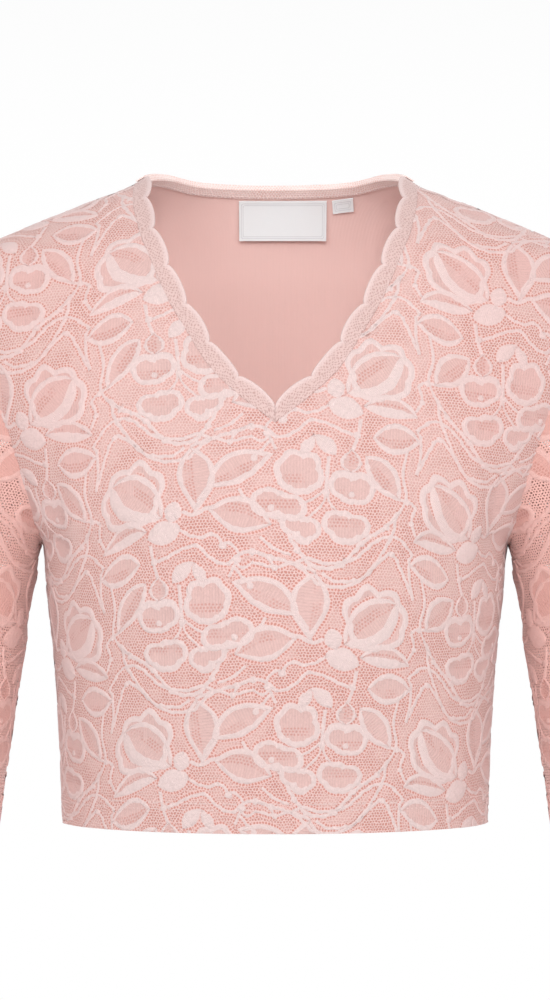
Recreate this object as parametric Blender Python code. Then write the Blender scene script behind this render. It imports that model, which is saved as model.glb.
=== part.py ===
"""Dirndl blouse of stretch lace over a jersey lining, V neck, set-in lace sleeves.

It hangs as if worn, with nobody in it. Metres, +Z up, +X to the viewer's right and the
front towards -Y. The origin is where the shoulders hold it up: midway between the two
points where the shoulder seams meet the neckline, at the height of the edging there.
Tables and working sizes are in millimetres.
"""

import bpy
import numpy as np
from mathutils.bvhtree import BVHTree

MM = 0.001

# Levels of the cloth along its normal, measured from the lining's inner face
LINING_LEVELS = (0.0, 1.0)
LACE_LEVELS = (1.3, 2.3)
EDGING_LEVELS = (2.65, 3.45)
CLOTH = 1.0
SEAM_GAP = 0.3

FRONT = -1.0
BACK = 1.0

# The lining's inner face, as level rings that are half ellipses in front and behind.
# Columns: height, half width at the side, depth to the front, depth to the back
BODY_RINGS = np.array(
    [
        (-3.0, 79.0, 15.0, 58.0),
        (-8.0, 88.0, 25.5, 62.5),
        (-14.3, 104.0, 33.0, 67.0),
        (-22.2, 125.0, 40.0, 71.5),
        (-31.3, 147.0, 47.5, 76.0),
        (-40.7, 169.5, 54.5, 80.0),
        (-50.0, 188.0, 60.0, 83.0),
        (-62.0, 196.0, 66.0, 86.0),
        (-85.0, 203.0, 76.0, 92.0),
        (-115.0, 200.0, 88.0, 97.0),
        (-140.0, 191.0, 96.5, 100.0),
        (-164.0, 178.0, 105.0, 101.0),
        (-185.0, 166.0, 111.5, 100.5),
        (-199.0, 158.0, 115.0, 99.5),
        (-215.0, 149.5, 118.5, 98.5),
        (-227.0, 142.0, 120.5, 97.5),
        (-258.0, 139.4, 121.5, 94.5),
        (-280.0, 136.9, 119.0, 92.0),
        (-306.0, 134.4, 114.0, 89.0),
        (-334.0, 132.5, 108.0, 86.5),
        (-365.0, 131.0, 102.0, 84.5),
        (-400.0, 130.0, 97.0, 83.0),
    ]
)
HEM_HEIGHT = -400.0
UNDERARM_HEIGHT = -227.0
SHOULDER_HEIGHT = -50.0

# Edge of the front along the V neck, from its tip up. Columns: height, half width
FRONT_NECK = np.array(
    [
        (-145.8, 0.0),
        (-131.6, 17.8),
        (-116.9, 32.7),
        (-97.0, 45.5),
        (-75.8, 57.9),
        (-53.7, 67.5),
        (-32.6, 75.8),
        (-12.9, 79.3),
        (-3.0, 79.0),
    ]
)
# Edge of the back round the neck. Columns: degrees from centre back, height
BACK_NECK = np.array(
    [(0.0, -4.4), (21.0, -4.1), (37.0, -3.3), (49.0, -1.8), (62.0, -0.6), (75.0, -1.0), (90.0, -3.0)]
)

# Armhole, seen from the side an oval that is deeper near the underarm
ARMHOLE_FRONT = 46.0
ARMHOLE_BACK = 48.0
ARMHOLE_SKEW = 0.15

# Rows and columns of each half panel
SIDE_SEAM_ROWS = 8
ARMHOLE_ROWS = 12
FRONT_CENTRE_ROWS = 11
BACK_CENTRE_ROWS = 14
COLUMNS = np.array([0.0, 0.07, 0.18, 0.31, 0.45, 0.6, 0.74, 0.88, 1.0])

# Sleeve: the ring at the top of the arm, then a tube that tapers and bends forward
ARM_TILT = np.radians(7.0)
ARM_TOP = np.array([192.0, 0.0, -240.0])
# Columns: distance down the arm, half width, half depth
ARM_RINGS = np.array([(0.0, 43.4, 46.5), (110.0, 41.0, 44.0), (200.0, 40.0, 42.0)])
ARM_BEND = 0.00045
ARM_LENGTH = 200.0
ARM_ROWS = 8
CAP_STEPS = np.array([0.0, 0.1, 0.25, 0.45, 0.7])
# The sleeve's solid is parted at the top of the arm, so that each part's collision is simple
CAP_ROWS = slice(0, len(CAP_STEPS) + 1)
ARM_ROWS_BELOW = slice(len(CAP_STEPS) + 1, None)

# How the sleeve leaves the armhole: over the shoulder, at the underarm, and the dent
# beside its front and back seams
SHOULDER_RUN = np.array([0.91, 0.0, -0.41])
UNDERARM_RUN = np.array([0.25, 0.0, -0.97])
SEAM_DENT = 0.4
LEAVING_PULL = 0.24
ARRIVING_PULL = 0.36
# The sleeve starts level with the lace and rises over it towards the underarm
SLEEVE_RISE = 2.5
RISE_FROM = np.radians(60.0)
RISE_TO = np.radians(160.0)
SLEEVE_SET_IN = 0.6

# Scalloped edging along the V neck
SCALLOPS = 7
SCALLOP_SAMPLES = 6
SCALLOP_DEPTH = 3.4
CUSP = 0.3
BAND_LINES = (-8.0, -4.0, -0.2)
MITRE_SLOPE = np.tan(np.radians(38.6))
MITRE_LENGTH = 25.0

# Binding folded over the back neckline. Columns: offset into the opening, level
BINDING_INSIDE = ((-6.4, -0.4), (0.2, -0.4), (0.4, 0.0), (0.4, 2.6), (0.2, 3.0), (-6.4, 3.0))
BINDING_OUTSIDE = ((-6.4, -1.2), (0.6, -1.2), (1.2, -0.4), (1.2, 3.1), (0.6, 3.8), (-6.4, 3.8))
BINDING_STEPS = 18

# Label and size tab under the binding: left, right, top, drop, turn in degrees,
# how far the foot stands off the lining
LABEL = {"left": -23.0, "right": 33.0, "top": -10.6, "drop": 23.6, "turn": 0.0, "lift": 2.6}
SIZE_TAB = {"left": 36.4, "right": 49.6, "top": -10.6, "drop": 7.6, "turn": 6.0, "lift": 0.6}
LABEL_OFF = 0.65
LABEL_THICK = 1.0

LINING_PINK = (0.78, 0.47, 0.43)
LACE_PINK = (0.86, 0.63, 0.60)
SLEEVE_PINK = (0.80, 0.60, 0.55)
EDGING_CREAM = (0.83, 0.65, 0.58)
LABEL_WHITE = (0.88, 0.88, 0.88)


def table_curve(table, at):
    """Reads every column but the first on a curve that rises and falls only as its rows do.

    Cubic Hermite pieces, whose slope at a row is the harmonic mean of the chords beside
    it, or level at a turning point. Past the ends the curve runs on straight.
    """
    rows = table if table[0, 0] < table[-1, 0] else table[::-1]
    x = rows[:, 0]
    y = rows[:, 1:]
    step = np.diff(x)[:, None]
    chord = np.diff(y, axis=0) / step
    before = chord[:-1]
    after = chord[1:]
    same = before * after > 0
    mean = 2 * before * after / np.where(same, before + after, 1.0)
    slope = np.vstack([chord[:1], np.where(same, mean, 0.0), chord[-1:]])
    at = np.asarray(at, float)
    held = np.clip(at, x[0], x[-1])
    i = np.clip(np.searchsorted(x, held, side="right") - 1, 0, len(x) - 2)
    h = step[i]
    t = (held - x[i])[..., None] / h
    inside = (
        y[i] * (2 * t**3 - 3 * t**2 + 1)
        + slope[i] * h * (t**3 - 2 * t**2 + t)
        + y[i + 1] * (3 * t**2 - 2 * t**3)
        + slope[i + 1] * h * (t**3 - t**2)
    )
    end = np.where((at < x[0])[..., None], slope[0], slope[-1])
    return inside + end * (at - held)[..., None]


def smooth(x):
    """Rises from 0 to 1 with level ends."""
    x = np.clip(x, 0.0, 1.0)
    return x * x * (3 - 2 * x)


def unit(vectors):
    return vectors / np.linalg.norm(vectors, axis=-1, keepdims=True)


def ring_size(height, side):
    """Half width and depth of the body's ring at each height."""
    sizes = table_curve(BODY_RINGS, height)
    return sizes[..., 0], sizes[..., 1 if side == FRONT else 2]


def body_point(theta, height, side):
    """x = W sin theta and y = side D cos theta, with W and D from the rings."""
    width, depth = ring_size(height, side)
    return np.stack([width * np.sin(theta), side * depth * np.cos(theta), height + 0 * theta], -1)


def body_normal(theta, height, side):
    """Outward normal: the cross product of body_point's two tangents."""
    width, depth = ring_size(height, side)
    above = ring_size(height + 0.5, side)
    below = ring_size(height - 0.5, side)
    sine = np.sin(theta)
    cosine = np.cos(theta)
    flare = width * (above[1] - below[1]) * cosine**2 + depth * (above[0] - below[0]) * sine**2
    return unit(np.stack([depth * sine, side * width * cosine, -flare], -1))


def armhole(alpha, side):
    """Angle and height of the armhole at alpha, 0 at the shoulder and pi at the underarm."""
    middle = (SHOULDER_HEIGHT + UNDERARM_HEIGHT) / 2
    half = (SHOULDER_HEIGHT - UNDERARM_HEIGHT) / 2
    height = middle + half * np.cos(alpha)
    reach = ARMHOLE_FRONT if side == FRONT else ARMHOLE_BACK
    away = reach * np.sin(alpha) * (1 - ARMHOLE_SKEW * np.cos(alpha))
    theta = np.arccos(np.clip(away / ring_size(height, side)[1], 0.0, 1.0))
    return theta, height


def neckline(fractions, side):
    """Angle and height at these fractions of the way from the centre to the shoulder seam."""
    if side == FRONT:
        height = np.linspace(FRONT_NECK[0, 0], FRONT_NECK[-1, 0], 200)
        half_width = table_curve(FRONT_NECK, height)[:, 0]
        theta = np.arcsin(np.clip(half_width / ring_size(height, side)[0], 0.0, 1.0))
    else:
        degrees = np.linspace(0.0, 90.0, 200)
        height = table_curve(BACK_NECK, degrees)[:, 0]
        theta = np.radians(degrees)
    steps = np.linalg.norm(np.diff(body_point(theta, height, side), axis=0), axis=1)
    length = np.concatenate([[0.0], np.cumsum(steps)])
    at = np.asarray(fractions) * length[-1]
    return np.interp(at, length, theta), np.interp(at, length, height)


def half_panel(side):
    """Angle and height at each row and column of a panel's right half.

    Rows run from the centre line or the neckline to the side seam or the armhole.
    """
    centre_rows = FRONT_CENTRE_ROWS if side == FRONT else BACK_CENTRE_ROWS
    neck_rows = SIDE_SEAM_ROWS + ARMHOLE_ROWS - centre_rows
    neck = np.column_stack(neckline(np.linspace(0, 1, neck_rows + 1), side))
    rise = np.linspace(HEM_HEIGHT, neck[0, 1], centre_rows + 1)
    centre = np.column_stack([0 * rise, rise])
    left = np.vstack([centre[:-1], neck])
    rise = np.linspace(HEM_HEIGHT, UNDERARM_HEIGHT, SIDE_SEAM_ROWS + 1)
    seam = np.column_stack([0 * rise + np.pi / 2, rise])
    alpha = np.linspace(np.pi, 0.0, ARMHOLE_ROWS + 1)
    right = np.vstack([seam[:-1], np.column_stack(armhole(alpha, side))])
    mix = COLUMNS[None, :, None]
    return left[:, None] * (1 - mix) + right[:, None] * mix


def grid_triangles(index):
    """Two triangles for each cell of a grid of point numbers, all cut the same way."""
    a = index[:-1, :-1].ravel()
    b = index[:-1, 1:].ravel()
    c = index[1:, 1:].ravel()
    d = index[1:, :-1].ravel()
    return np.concatenate([np.column_stack([a, b, c]), np.column_stack([a, c, d])])


def panel_sheet(side):
    """Points, normals and triangles of a whole panel's inner face, facing outward."""
    half = half_panel(side)
    rows, columns = half.shape[:2]
    centre_rows = FRONT_CENTRE_ROWS if side == FRONT else BACK_CENTRE_ROWS
    right = np.arange(rows * columns).reshape(rows, columns)
    left = right + rows * columns
    left[: centre_rows + 1, 0] = right[: centre_rows + 1, 0]
    theta = np.concatenate([half[..., 0].ravel(), -half[..., 0].ravel()])
    height = np.tile(half[..., 1].ravel(), 2)
    points = body_point(theta, height, side)
    points[:, 1] += side * SEAM_GAP / 2
    triangles = np.vstack([grid_triangles(right), grid_triangles(left)[:, ::-1]])
    if side == BACK:
        triangles = triangles[:, ::-1]
    return points, body_normal(theta, height, side), triangles


def on_panel(goals, side):
    """Nearest points on a panel's flat facets, and the sheet's normals there."""
    points, normals, triangles = panel_sheet(side)
    tree = BVHTree.FromPolygons(points.tolist(), triangles.tolist())
    found = [tree.find_nearest(goal) for goal in goals.tolist()]
    near = np.array([place for place, _, _, _ in found])
    corners = triangles[[face for _, _, face, _ in found]]
    a, b, c = np.moveaxis(points[corners], 1, 0)
    areas = [np.cross(b - near, c - near), np.cross(c - near, a - near), np.cross(a - near, b - near)]
    shares = np.linalg.norm(areas, axis=2).T[..., None]
    return near, (normals[corners] * shares).sum(axis=1) / shares.sum(axis=1)


def neck_frame(side):
    """The neckline in fine steps: distance along it, points, run, direction into the opening."""
    fractions = np.linspace(0.0, 1.0, 121)
    theta, height = neckline(fractions, side)
    edge = body_point(theta, height, side)
    run = unit(np.gradient(edge, axis=0))
    if side == BACK:
        run[0] = (1.0, 0.0, 0.0)
    into = unit(np.cross(body_normal(theta, height, side), run) * -side)
    # At the shoulder seam the cut lies in the plane of the seam
    seam = body_point(np.full(2, np.pi / 2), height[-1] - np.array([0.0, 2.0]), side)
    share = smooth((fractions - 0.9) / 0.1)[:, None]
    into = unit(into * (1 - share) + unit(seam[0] - seam[1]) * share)
    length = np.concatenate([[0.0], np.cumsum(np.linalg.norm(np.diff(edge, axis=0), axis=1))])
    return length, edge, run, into


def beside_neck(at, offset, side):
    """Points and normals at a distance along the right half's neckline and an offset from it.

    A negative offset lies on the panel's facets. A positive one is past its edge.
    """
    length, edge, run, into = neck_frame(side)
    held = np.clip(at, 0.0, length[-1])
    near, away = (
        np.stack([np.interp(held, length, column) for column in values.T], -1)
        for values in (edge, into)
    )
    near = near + run[0] * (at - held)[:, None]
    offset = np.broadcast_to(offset, at.shape)[:, None]
    points, normals = on_panel(near + away * np.minimum(offset, 0.0), side)
    return points + away * np.maximum(offset, 0.0), normals


def make_object(name, points, triangles, material):
    used, index = np.unique(triangles, return_inverse=True)
    faces = index.reshape(triangles.shape)
    mesh = bpy.data.meshes.new(name)
    mesh.from_pydata((points[used] * MM).tolist(), [], faces.tolist())
    mesh.shade_smooth()
    mesh.set_sharp_from_angle(angle=np.radians(50.0))
    mesh.materials.append(material)
    made = bpy.data.objects.new(name, mesh)
    bpy.context.scene.collection.objects.link(made)
    return made


def make_closed(name, inner, outer, triangles, material):
    """Joins a wall's two faces by a rim along every open edge of the triangles."""
    ends = np.vstack([triangles[:, [0, 1]], triangles[:, [1, 2]], triangles[:, [2, 0]]])
    pairs = np.sort(ends, axis=1)
    _, first, count = np.unique(pairs, axis=0, return_index=True, return_counts=True)
    a, b = ends[first[count == 1]].T
    up = len(inner)
    rim = [np.column_stack([b + up, a + up, a]), np.column_stack([b + up, a, b])]
    faces = np.vstack([triangles[:, ::-1], triangles + up, *rim])
    return make_object(name, np.vstack([inner, outer]), faces, material)


def make_wall(name, sheet, levels, material):
    """A cloth wall between two levels above a sheet."""
    points, normals, triangles = sheet
    inner = points + normals * levels[0]
    outer = points + normals * levels[1]
    return make_closed(name, inner, outer, triangles, material)


def sleeve_start(alpha, side):
    """Where the sleeve's inner face starts round the armhole, just clear of the panels."""
    theta, height = armhole(alpha, side)
    normal = body_normal(theta, height, side)
    ahead = body_point(*armhole(alpha + 0.01, side), side)
    behind = body_point(*armhole(alpha - 0.01, side), side)
    into = unit(np.cross(normal, ahead - behind) * -side)
    rise = smooth((alpha - RISE_FROM) / (RISE_TO - RISE_FROM))
    level = LACE_LEVELS[0] + SLEEVE_RISE * rise[:, None]
    return body_point(theta, height, side) + normal * level + into * SLEEVE_SET_IN


def arm_ring(distance, alpha, side):
    """Ring round the arm: centre + across a cos alpha + forward b sin alpha."""
    half_width, half_depth = table_curve(ARM_RINGS, distance)
    down = np.array([np.sin(ARM_TILT), 0.0, -np.cos(ARM_TILT)])
    across = np.array([np.cos(ARM_TILT), 0.0, np.sin(ARM_TILT)])
    centre = ARM_TOP + down * distance - np.array([0.0, ARM_BEND * distance**2, 0.0])
    ring = centre + across * (half_width * np.cos(alpha))[:, None]
    ring[:, 1] += side * half_depth * np.sin(alpha)
    return ring


def sleeve_rows(alpha, side):
    """Rows of the sleeve's inner face, by cubic Bezier curves over the cap, then rings.

    Two rings stand a seam's gap apart at the top of the arm, where the solid is parted.
    """
    start = sleeve_start(alpha, side)
    end = arm_ring(0.0, alpha, side)
    reach = np.linalg.norm(end - start, axis=1)[:, None]
    low = ((1 - np.cos(alpha)) / 2)[:, None]
    leaving = SHOULDER_RUN * (1 - low) + UNDERARM_RUN * low
    leaving[:, 1] -= side * SEAM_DENT * np.sin(alpha)
    arriving = np.array([np.sin(ARM_TILT), 0.0, -np.cos(ARM_TILT)])
    first = start + unit(leaving) * reach * LEAVING_PULL
    second = end - arriving * reach * ARRIVING_PULL
    rows = []
    for t in CAP_STEPS:
        near = start * (1 - t) ** 3 + first * 3 * t * (1 - t) ** 2
        rows.append(near + second * 3 * t**2 * (1 - t) + end * t**3)
    distances = np.linspace(0.0, ARM_LENGTH, ARM_ROWS + 1)
    for distance in np.insert(distances, 1, SEAM_GAP):
        rows.append(arm_ring(distance, alpha, side))
    return np.array(rows)


def sleeve_sheet(mirror, part):
    """Points, normals and triangles of the inner face of a sleeve's cap or of its arm.

    mirror is 1 or -1 along x, and part a slice of the sleeve's rows.
    """
    alpha = np.linspace(0.0, np.pi, ARMHOLE_ROWS + 1)
    front = sleeve_rows(alpha, FRONT)
    back = sleeve_rows(alpha[1:-1], BACK)[:, ::-1]
    lattice = np.concatenate([front, back], axis=1)
    around = np.roll(lattice, -1, axis=1) - np.roll(lattice, 1, axis=1)
    normals = unit(np.cross(around, np.gradient(lattice, axis=0)))[part]
    lattice = lattice[part]
    index = np.arange(lattice[..., 0].size).reshape(lattice.shape[:2])
    triangles = grid_triangles(np.column_stack([index, index[:, :1]]))
    if mirror < 0:
        triangles = triangles[:, ::-1]
    flip = np.array([mirror, 1.0, 1.0])
    return lattice.reshape(-1, 3) * flip, normals.reshape(-1, 3) * flip, triangles


def edging_sheet(mirror):
    """Sheet of the scalloped edging on one side of the V, mitred at centre front."""
    length = neck_frame(FRONT)[0][-1]
    samples = np.arange(SCALLOPS * SCALLOP_SAMPLES + 1)
    at = length * samples / samples[-1]
    phase = 2 * (samples % SCALLOP_SAMPLES) / SCALLOP_SAMPLES - 1
    scallop = CUSP + SCALLOP_DEPTH * np.sqrt(1 - phase**2)
    mitre = MITRE_SLOPE * np.clip(1 - at / MITRE_LENGTH, 0.0, None)
    points = []
    normals = []
    for offset in (*BAND_LINES, scallop):
        line, normal = beside_neck(at + offset * mitre, offset, FRONT)
        line[0, 0] = SEAM_GAP / 2
        normal[0, 0] = 0.0
        points.append(line)
        normals.append(normal)
    index = np.arange(len(points) * len(at)).reshape(len(points), len(at))
    triangles = grid_triangles(index)
    if mirror < 0:
        triangles = triangles[:, ::-1]
    flip = np.array([mirror, 1.0, 1.0])
    return np.vstack(points) * flip, np.vstack(normals) * flip, triangles


def make_binding(name, material):
    """Strip folded over the back neckline, from one shoulder seam round to the other."""
    length = neck_frame(BACK)[0][-1]
    at = np.linspace(0.0, length, BINDING_STEPS + 1)
    faces = []
    for profile in (BINDING_INSIDE, BINDING_OUTSIDE):
        lines = []
        for offset, level in profile:
            right, normal = beside_neck(at, offset, BACK)
            right = right + normal * level
            right[0, 0] = 0.0
            left = right[:0:-1] * np.array([-1.0, 1.0, 1.0])
            lines.append(np.vstack([left, right]))
        faces.append(np.array(lines))
    index = np.arange(faces[0][..., 0].size).reshape(faces[0].shape[:2])
    triangles = grid_triangles(index)
    inside, outside = (face.reshape(-1, 3) for face in faces)
    return make_closed(name, inside, outside, triangles, material)


def label_sheet(size, steps):
    """Sheet of a label that hangs inside the back lining, its foot standing off a little."""
    across = np.linspace(size["left"], size["right"], steps + 1) - size["left"]
    down = np.linspace(size["drop"], 0.0, 4)
    turn = np.radians(size["turn"])
    x = size["left"] + across * np.cos(turn) + down[:, None] * np.sin(turn)
    height = size["top"] + across * np.sin(turn) - down[:, None] * np.cos(turn)
    theta = np.arcsin(x / ring_size(height, BACK)[0])
    points, normals = on_panel(body_point(theta, height, BACK).reshape(-1, 3), BACK)
    off = LABEL_OFF + size["lift"] * (down / size["drop"])[:, None] + 0 * across
    index = np.arange(x.size).reshape(x.shape)
    return points - normals * off.reshape(-1, 1), normals, grid_triangles(index)[:, ::-1]


def make_material(name, colour, roughness):
    material = bpy.data.materials.new(name)
    material.use_nodes = True
    shader = material.node_tree.nodes["Principled BSDF"]
    shader.inputs["Base Color"].default_value = (*colour, 1.0)
    shader.inputs["Roughness"].default_value = roughness
    shader.inputs["Metallic"].default_value = 0.0
    return material


def main():
    for old in list(bpy.data.objects):
        bpy.data.objects.remove(old)

    lining = make_material("pink_jersey", LINING_PINK, 0.85)
    lace = make_material("pink_lace", LACE_PINK, 0.8)
    sheer = make_material("sheer_sleeve_lace", SLEEVE_PINK, 0.8)
    cream = make_material("cream_edging_lace", EDGING_CREAM, 0.8)
    woven = make_material("white_woven_tape", LABEL_WHITE, 0.7)

    for place, side in (("front", FRONT), ("back", BACK)):
        sheet = panel_sheet(side)
        make_wall(f"{place}_lining", sheet, LINING_LEVELS, lining)
        make_wall(f"{place}_lace", sheet, LACE_LEVELS, lace)
    for hand, mirror in (("left", 1.0), ("right", -1.0)):
        for place, part in (("cap", CAP_ROWS), ("arm", ARM_ROWS_BELOW)):
            make_wall(f"sleeve_{hand}_{place}", sleeve_sheet(mirror, part), (0.0, CLOTH), sheer)
        make_wall(f"edging_{hand}", edging_sheet(mirror), EDGING_LEVELS, cream)
    make_binding("back_neck_binding", lace)
    make_wall("label", label_sheet(LABEL, 8), (-LABEL_THICK, 0.0), woven)
    make_wall("size_tab", label_sheet(SIZE_TAB, 3), (-LABEL_THICK, 0.0), woven)


main()
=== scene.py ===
# %% [markdown]
# # A dirndl blouse in stretch lace
#
# The blouse is cut from an elastic lace with large flowers. The body has a jersey lining
# under the lace, the sleeves are the bare lace, a scalloped lace edging follows the V neck
# and a folded strip binds the back neck. It hangs as if worn, with nobody in it.
#
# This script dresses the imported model: each cloth wall is made again as a finer surface on
# the same form, and the flowers are raised on it in thread. All sizes in the tables are in
# millimetres, and a mesh is scaled to metres when it is made.

import bpy
import numpy as np
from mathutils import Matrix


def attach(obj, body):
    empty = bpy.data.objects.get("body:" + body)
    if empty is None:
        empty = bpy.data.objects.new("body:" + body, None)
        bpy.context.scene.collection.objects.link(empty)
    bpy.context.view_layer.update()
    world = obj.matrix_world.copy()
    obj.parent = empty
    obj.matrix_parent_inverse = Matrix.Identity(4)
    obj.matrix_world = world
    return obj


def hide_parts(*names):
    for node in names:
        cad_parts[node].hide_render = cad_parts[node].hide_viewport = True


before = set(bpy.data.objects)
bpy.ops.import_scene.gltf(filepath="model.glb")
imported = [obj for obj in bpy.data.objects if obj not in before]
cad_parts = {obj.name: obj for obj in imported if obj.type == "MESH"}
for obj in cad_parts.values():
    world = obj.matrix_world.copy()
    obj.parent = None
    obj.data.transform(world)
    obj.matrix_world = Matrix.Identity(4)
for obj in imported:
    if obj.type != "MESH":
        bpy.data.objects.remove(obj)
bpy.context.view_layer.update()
MM = 0.001
print("solids of the frame:", ", ".join(sorted(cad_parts)))

# %% [markdown]
# ## Camera, floor and light
#
# The photograph looks level at the middle of the chest from some way off. At the plane of
# the shoulder seams one pixel is 0.62 mm, which gives the focal length. The light of a
# catalogue photograph comes from all round, so the sky does most of the work: white near
# the horizon, where the camera sees it, and calmer above. Wide lamps in front and behind
# give the raised threads a soft side. The floor is made last, when all the cloth is there.

# %% Camera
PHOTO_HEIGHT = 1000
MM_A_PIXEL = 0.62
CAMERA_AWAY = 2.6
LOOK_HEIGHT = -0.2009
SENSOR = 36.0

lens = bpy.data.cameras.new("camera")
lens.sensor_width = SENSOR
lens.lens = SENSOR / PHOTO_HEIGHT * CAMERA_AWAY / (MM_A_PIXEL * MM)
camera = bpy.data.objects.new("camera", lens)
camera.location = (0.0, -CAMERA_AWAY, LOOK_HEIGHT)
camera.rotation_euler = (np.pi / 2, 0.0, 0.0)
bpy.context.scene.collection.objects.link(camera)
bpy.context.scene.camera = camera
print(f"lens {lens.lens:.1f} mm")

# %% Sky and lamps
HORIZON_LIGHT = 1.0
SKY_LIGHT = 0.70
HORIZON_BAND = (0.05, 0.45)

bpy.context.scene.view_settings.view_transform = "Standard"
world = bpy.data.worlds.new("studio")
bpy.context.scene.world = world
world.use_nodes = True
sky = world.node_tree
direction = sky.nodes.new("ShaderNodeTexCoord")
upward = sky.nodes.new("ShaderNodeSeparateXYZ")
fade = sky.nodes.new("ShaderNodeMapRange")
fade.interpolation_type = "SMOOTHSTEP"
fade.inputs["From Min"].default_value, fade.inputs["From Max"].default_value = HORIZON_BAND
fade.inputs["To Min"].default_value = HORIZON_LIGHT
fade.inputs["To Max"].default_value = SKY_LIGHT
sky.links.new(direction.outputs["Generated"], upward.inputs[0])
sky.links.new(upward.outputs["Z"], fade.inputs["Value"])
sky.links.new(fade.outputs[0], sky.nodes["Background"].inputs["Strength"])
sky.nodes["Background"].inputs["Color"].default_value = (1.0, 1.0, 1.0, 1.0)

# Columns: name, place, what it points at, size in metres, watts
LAMPS = [
    ("front", (0.1, -2.4, 0.75), (0.0, 0.0, -0.15), 0.8, 31.0),
    ("key", (-1.3, -2.2, 1.1), (0.0, 0.0, -0.2), 1.0, 9.0),
    ("fill", (1.6, -2.1, 0.3), (0.0, 0.0, -0.2), 1.4, 5.0),
    ("back_key", (1.4, 2.2, 1.0), (0.0, 0.0, -0.2), 1.2, 21.0),
    ("back_fill", (-1.6, 2.0, 0.2), (0.0, 0.0, -0.2), 1.4, 12.0),
]
for name, place, aim, size, watts in LAMPS:
    lamp = bpy.data.lights.new(name, "AREA")
    lamp.size = size
    lamp.energy = watts
    lamp_object = bpy.data.objects.new(name, lamp)
    toward = np.subtract(aim, place)
    away = np.hypot(toward[0], toward[1])
    lamp_object.location = place
    # A lamp shines along its own -Z: tip it up from straight down, then turn it round
    lamp_object.rotation_euler = (
        np.arctan2(away, -toward[2]),
        0.0,
        np.arctan2(toward[1], toward[0]) - np.pi / 2,
    )
    bpy.context.scene.collection.objects.link(lamp_object)
print("lamps:", len(LAMPS))

# %% [markdown]
# ## Tools for cloth
#
# Each piece of cloth is a lattice of points, worked out as whole arrays. These helpers
# read a curve through a table, turn a lattice into faces, and make a thin closed wall out
# of a sheet by joining two copies of it along every open edge.


# %% Curves and vectors
def table_curve(table, at):
    """Reads every column but the first on a curve that rises and falls only as its rows do.

    Cubic Hermite pieces, whose slope at a row is the harmonic mean of the chords beside
    it, or level at a turning point. Past the ends the curve runs on straight.
    """
    rows = table if table[0, 0] < table[-1, 0] else table[::-1]
    x = rows[:, 0]
    y = rows[:, 1:]
    step = np.diff(x)[:, None]
    chord = np.diff(y, axis=0) / step
    before, after = chord[:-1], chord[1:]
    same = before * after > 0
    mean = 2 * before * after / np.where(same, before + after, 1.0)
    slope = np.vstack([chord[:1], np.where(same, mean, 0.0), chord[-1:]])
    at = np.asarray(at, float)
    held = np.clip(at, x[0], x[-1])
    i = np.clip(np.searchsorted(x, held, side="right") - 1, 0, len(x) - 2)
    h = step[i]
    t = (held - x[i])[..., None] / h
    inside = (
        y[i] * (2 * t**3 - 3 * t**2 + 1)
        + slope[i] * h * (t**3 - 2 * t**2 + t)
        + y[i + 1] * (3 * t**2 - 2 * t**3)
        + slope[i + 1] * h * (t**3 - t**2)
    )
    end = np.where((at < x[0])[..., None], slope[0], slope[-1])
    return inside + end * (at - held)[..., None]


def smooth(x):
    """Rises from 0 to 1 with level ends: 3 x squared less 2 x cubed."""
    x = np.clip(x, 0.0, 1.0)
    return x * x * (3 - 2 * x)


def unit(vectors):
    """Each vector divided by its length."""
    return vectors / np.linalg.norm(vectors, axis=-1, keepdims=True)


def lengths_along(points):
    """Distance along a line of points, from 0 at its start."""
    steps = np.linalg.norm(np.diff(points, axis=0), axis=1)
    return np.concatenate([[0.0], np.cumsum(steps)])


# %% Meshes
# Faces that meet at more than this many degrees keep a sharp edge
SHARP_FROM = 40.0


def grid_quads(index):
    """A quad for each cell of a grid of point numbers."""
    corners = index[:-1, :-1], index[:-1, 1:], index[1:, 1:], index[1:, :-1]
    return np.stack([corner.ravel() for corner in corners], axis=1)


def closed_wall(inner, outer, quads):
    """Points and quads of a wall: both faces, and a rim along every open edge of the quads."""
    ends = np.vstack([quads[:, [k, (k + 1) % 4]] for k in range(4)])
    pairs = np.sort(ends, axis=1)
    _, first, count = np.unique(pairs, axis=0, return_index=True, return_counts=True)
    a, b = ends[first[count == 1]].T
    up = len(inner)
    rim = np.column_stack([b + up, a + up, a, b])
    return np.vstack([inner, outer]), np.vstack([quads[:, ::-1], quads + up, rim])


def make_piece(name, points, faces, materials, maps=(), slots=None):
    """Puts points in millimetres and faces into a mesh that rides on the blouse.

    Points that no face uses are left out. maps holds pairs of a map's name and the flat
    place of each point, and slots the number of each face's material.
    """
    used, index = np.unique(np.concatenate([f.ravel() for f in faces]), return_inverse=True)
    index = index.reshape(-1)
    sizes = [f.size for f in faces]
    parts = [
        part.reshape(f.shape) for part, f in zip(np.split(index, np.cumsum(sizes)[:-1]), faces)
    ]
    mesh = bpy.data.meshes.new(name)
    mesh.from_pydata((points[used] * MM).tolist(), [], sum((p.tolist() for p in parts), []))
    for map_name, places in maps:
        layer = mesh.uv_layers.new(name=map_name)
        corner_points = np.empty(len(mesh.loops), int)
        mesh.loops.foreach_get("vertex_index", corner_points)
        layer.data.foreach_set("uv", (places[used] * MM)[corner_points].ravel())
    for material in materials:
        mesh.materials.append(material)
    if slots is not None:
        mesh.polygons.foreach_set("material_index", slots)
    mesh.shade_smooth()
    mesh.set_sharp_from_angle(angle=np.radians(SHARP_FROM))
    piece = bpy.data.objects.new(name, mesh)
    bpy.context.scene.collection.objects.link(piece)
    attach(piece, "root")
    print(f"{name}: {len(mesh.vertices)} points, {len(mesh.polygons)} faces")
    return piece


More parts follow.
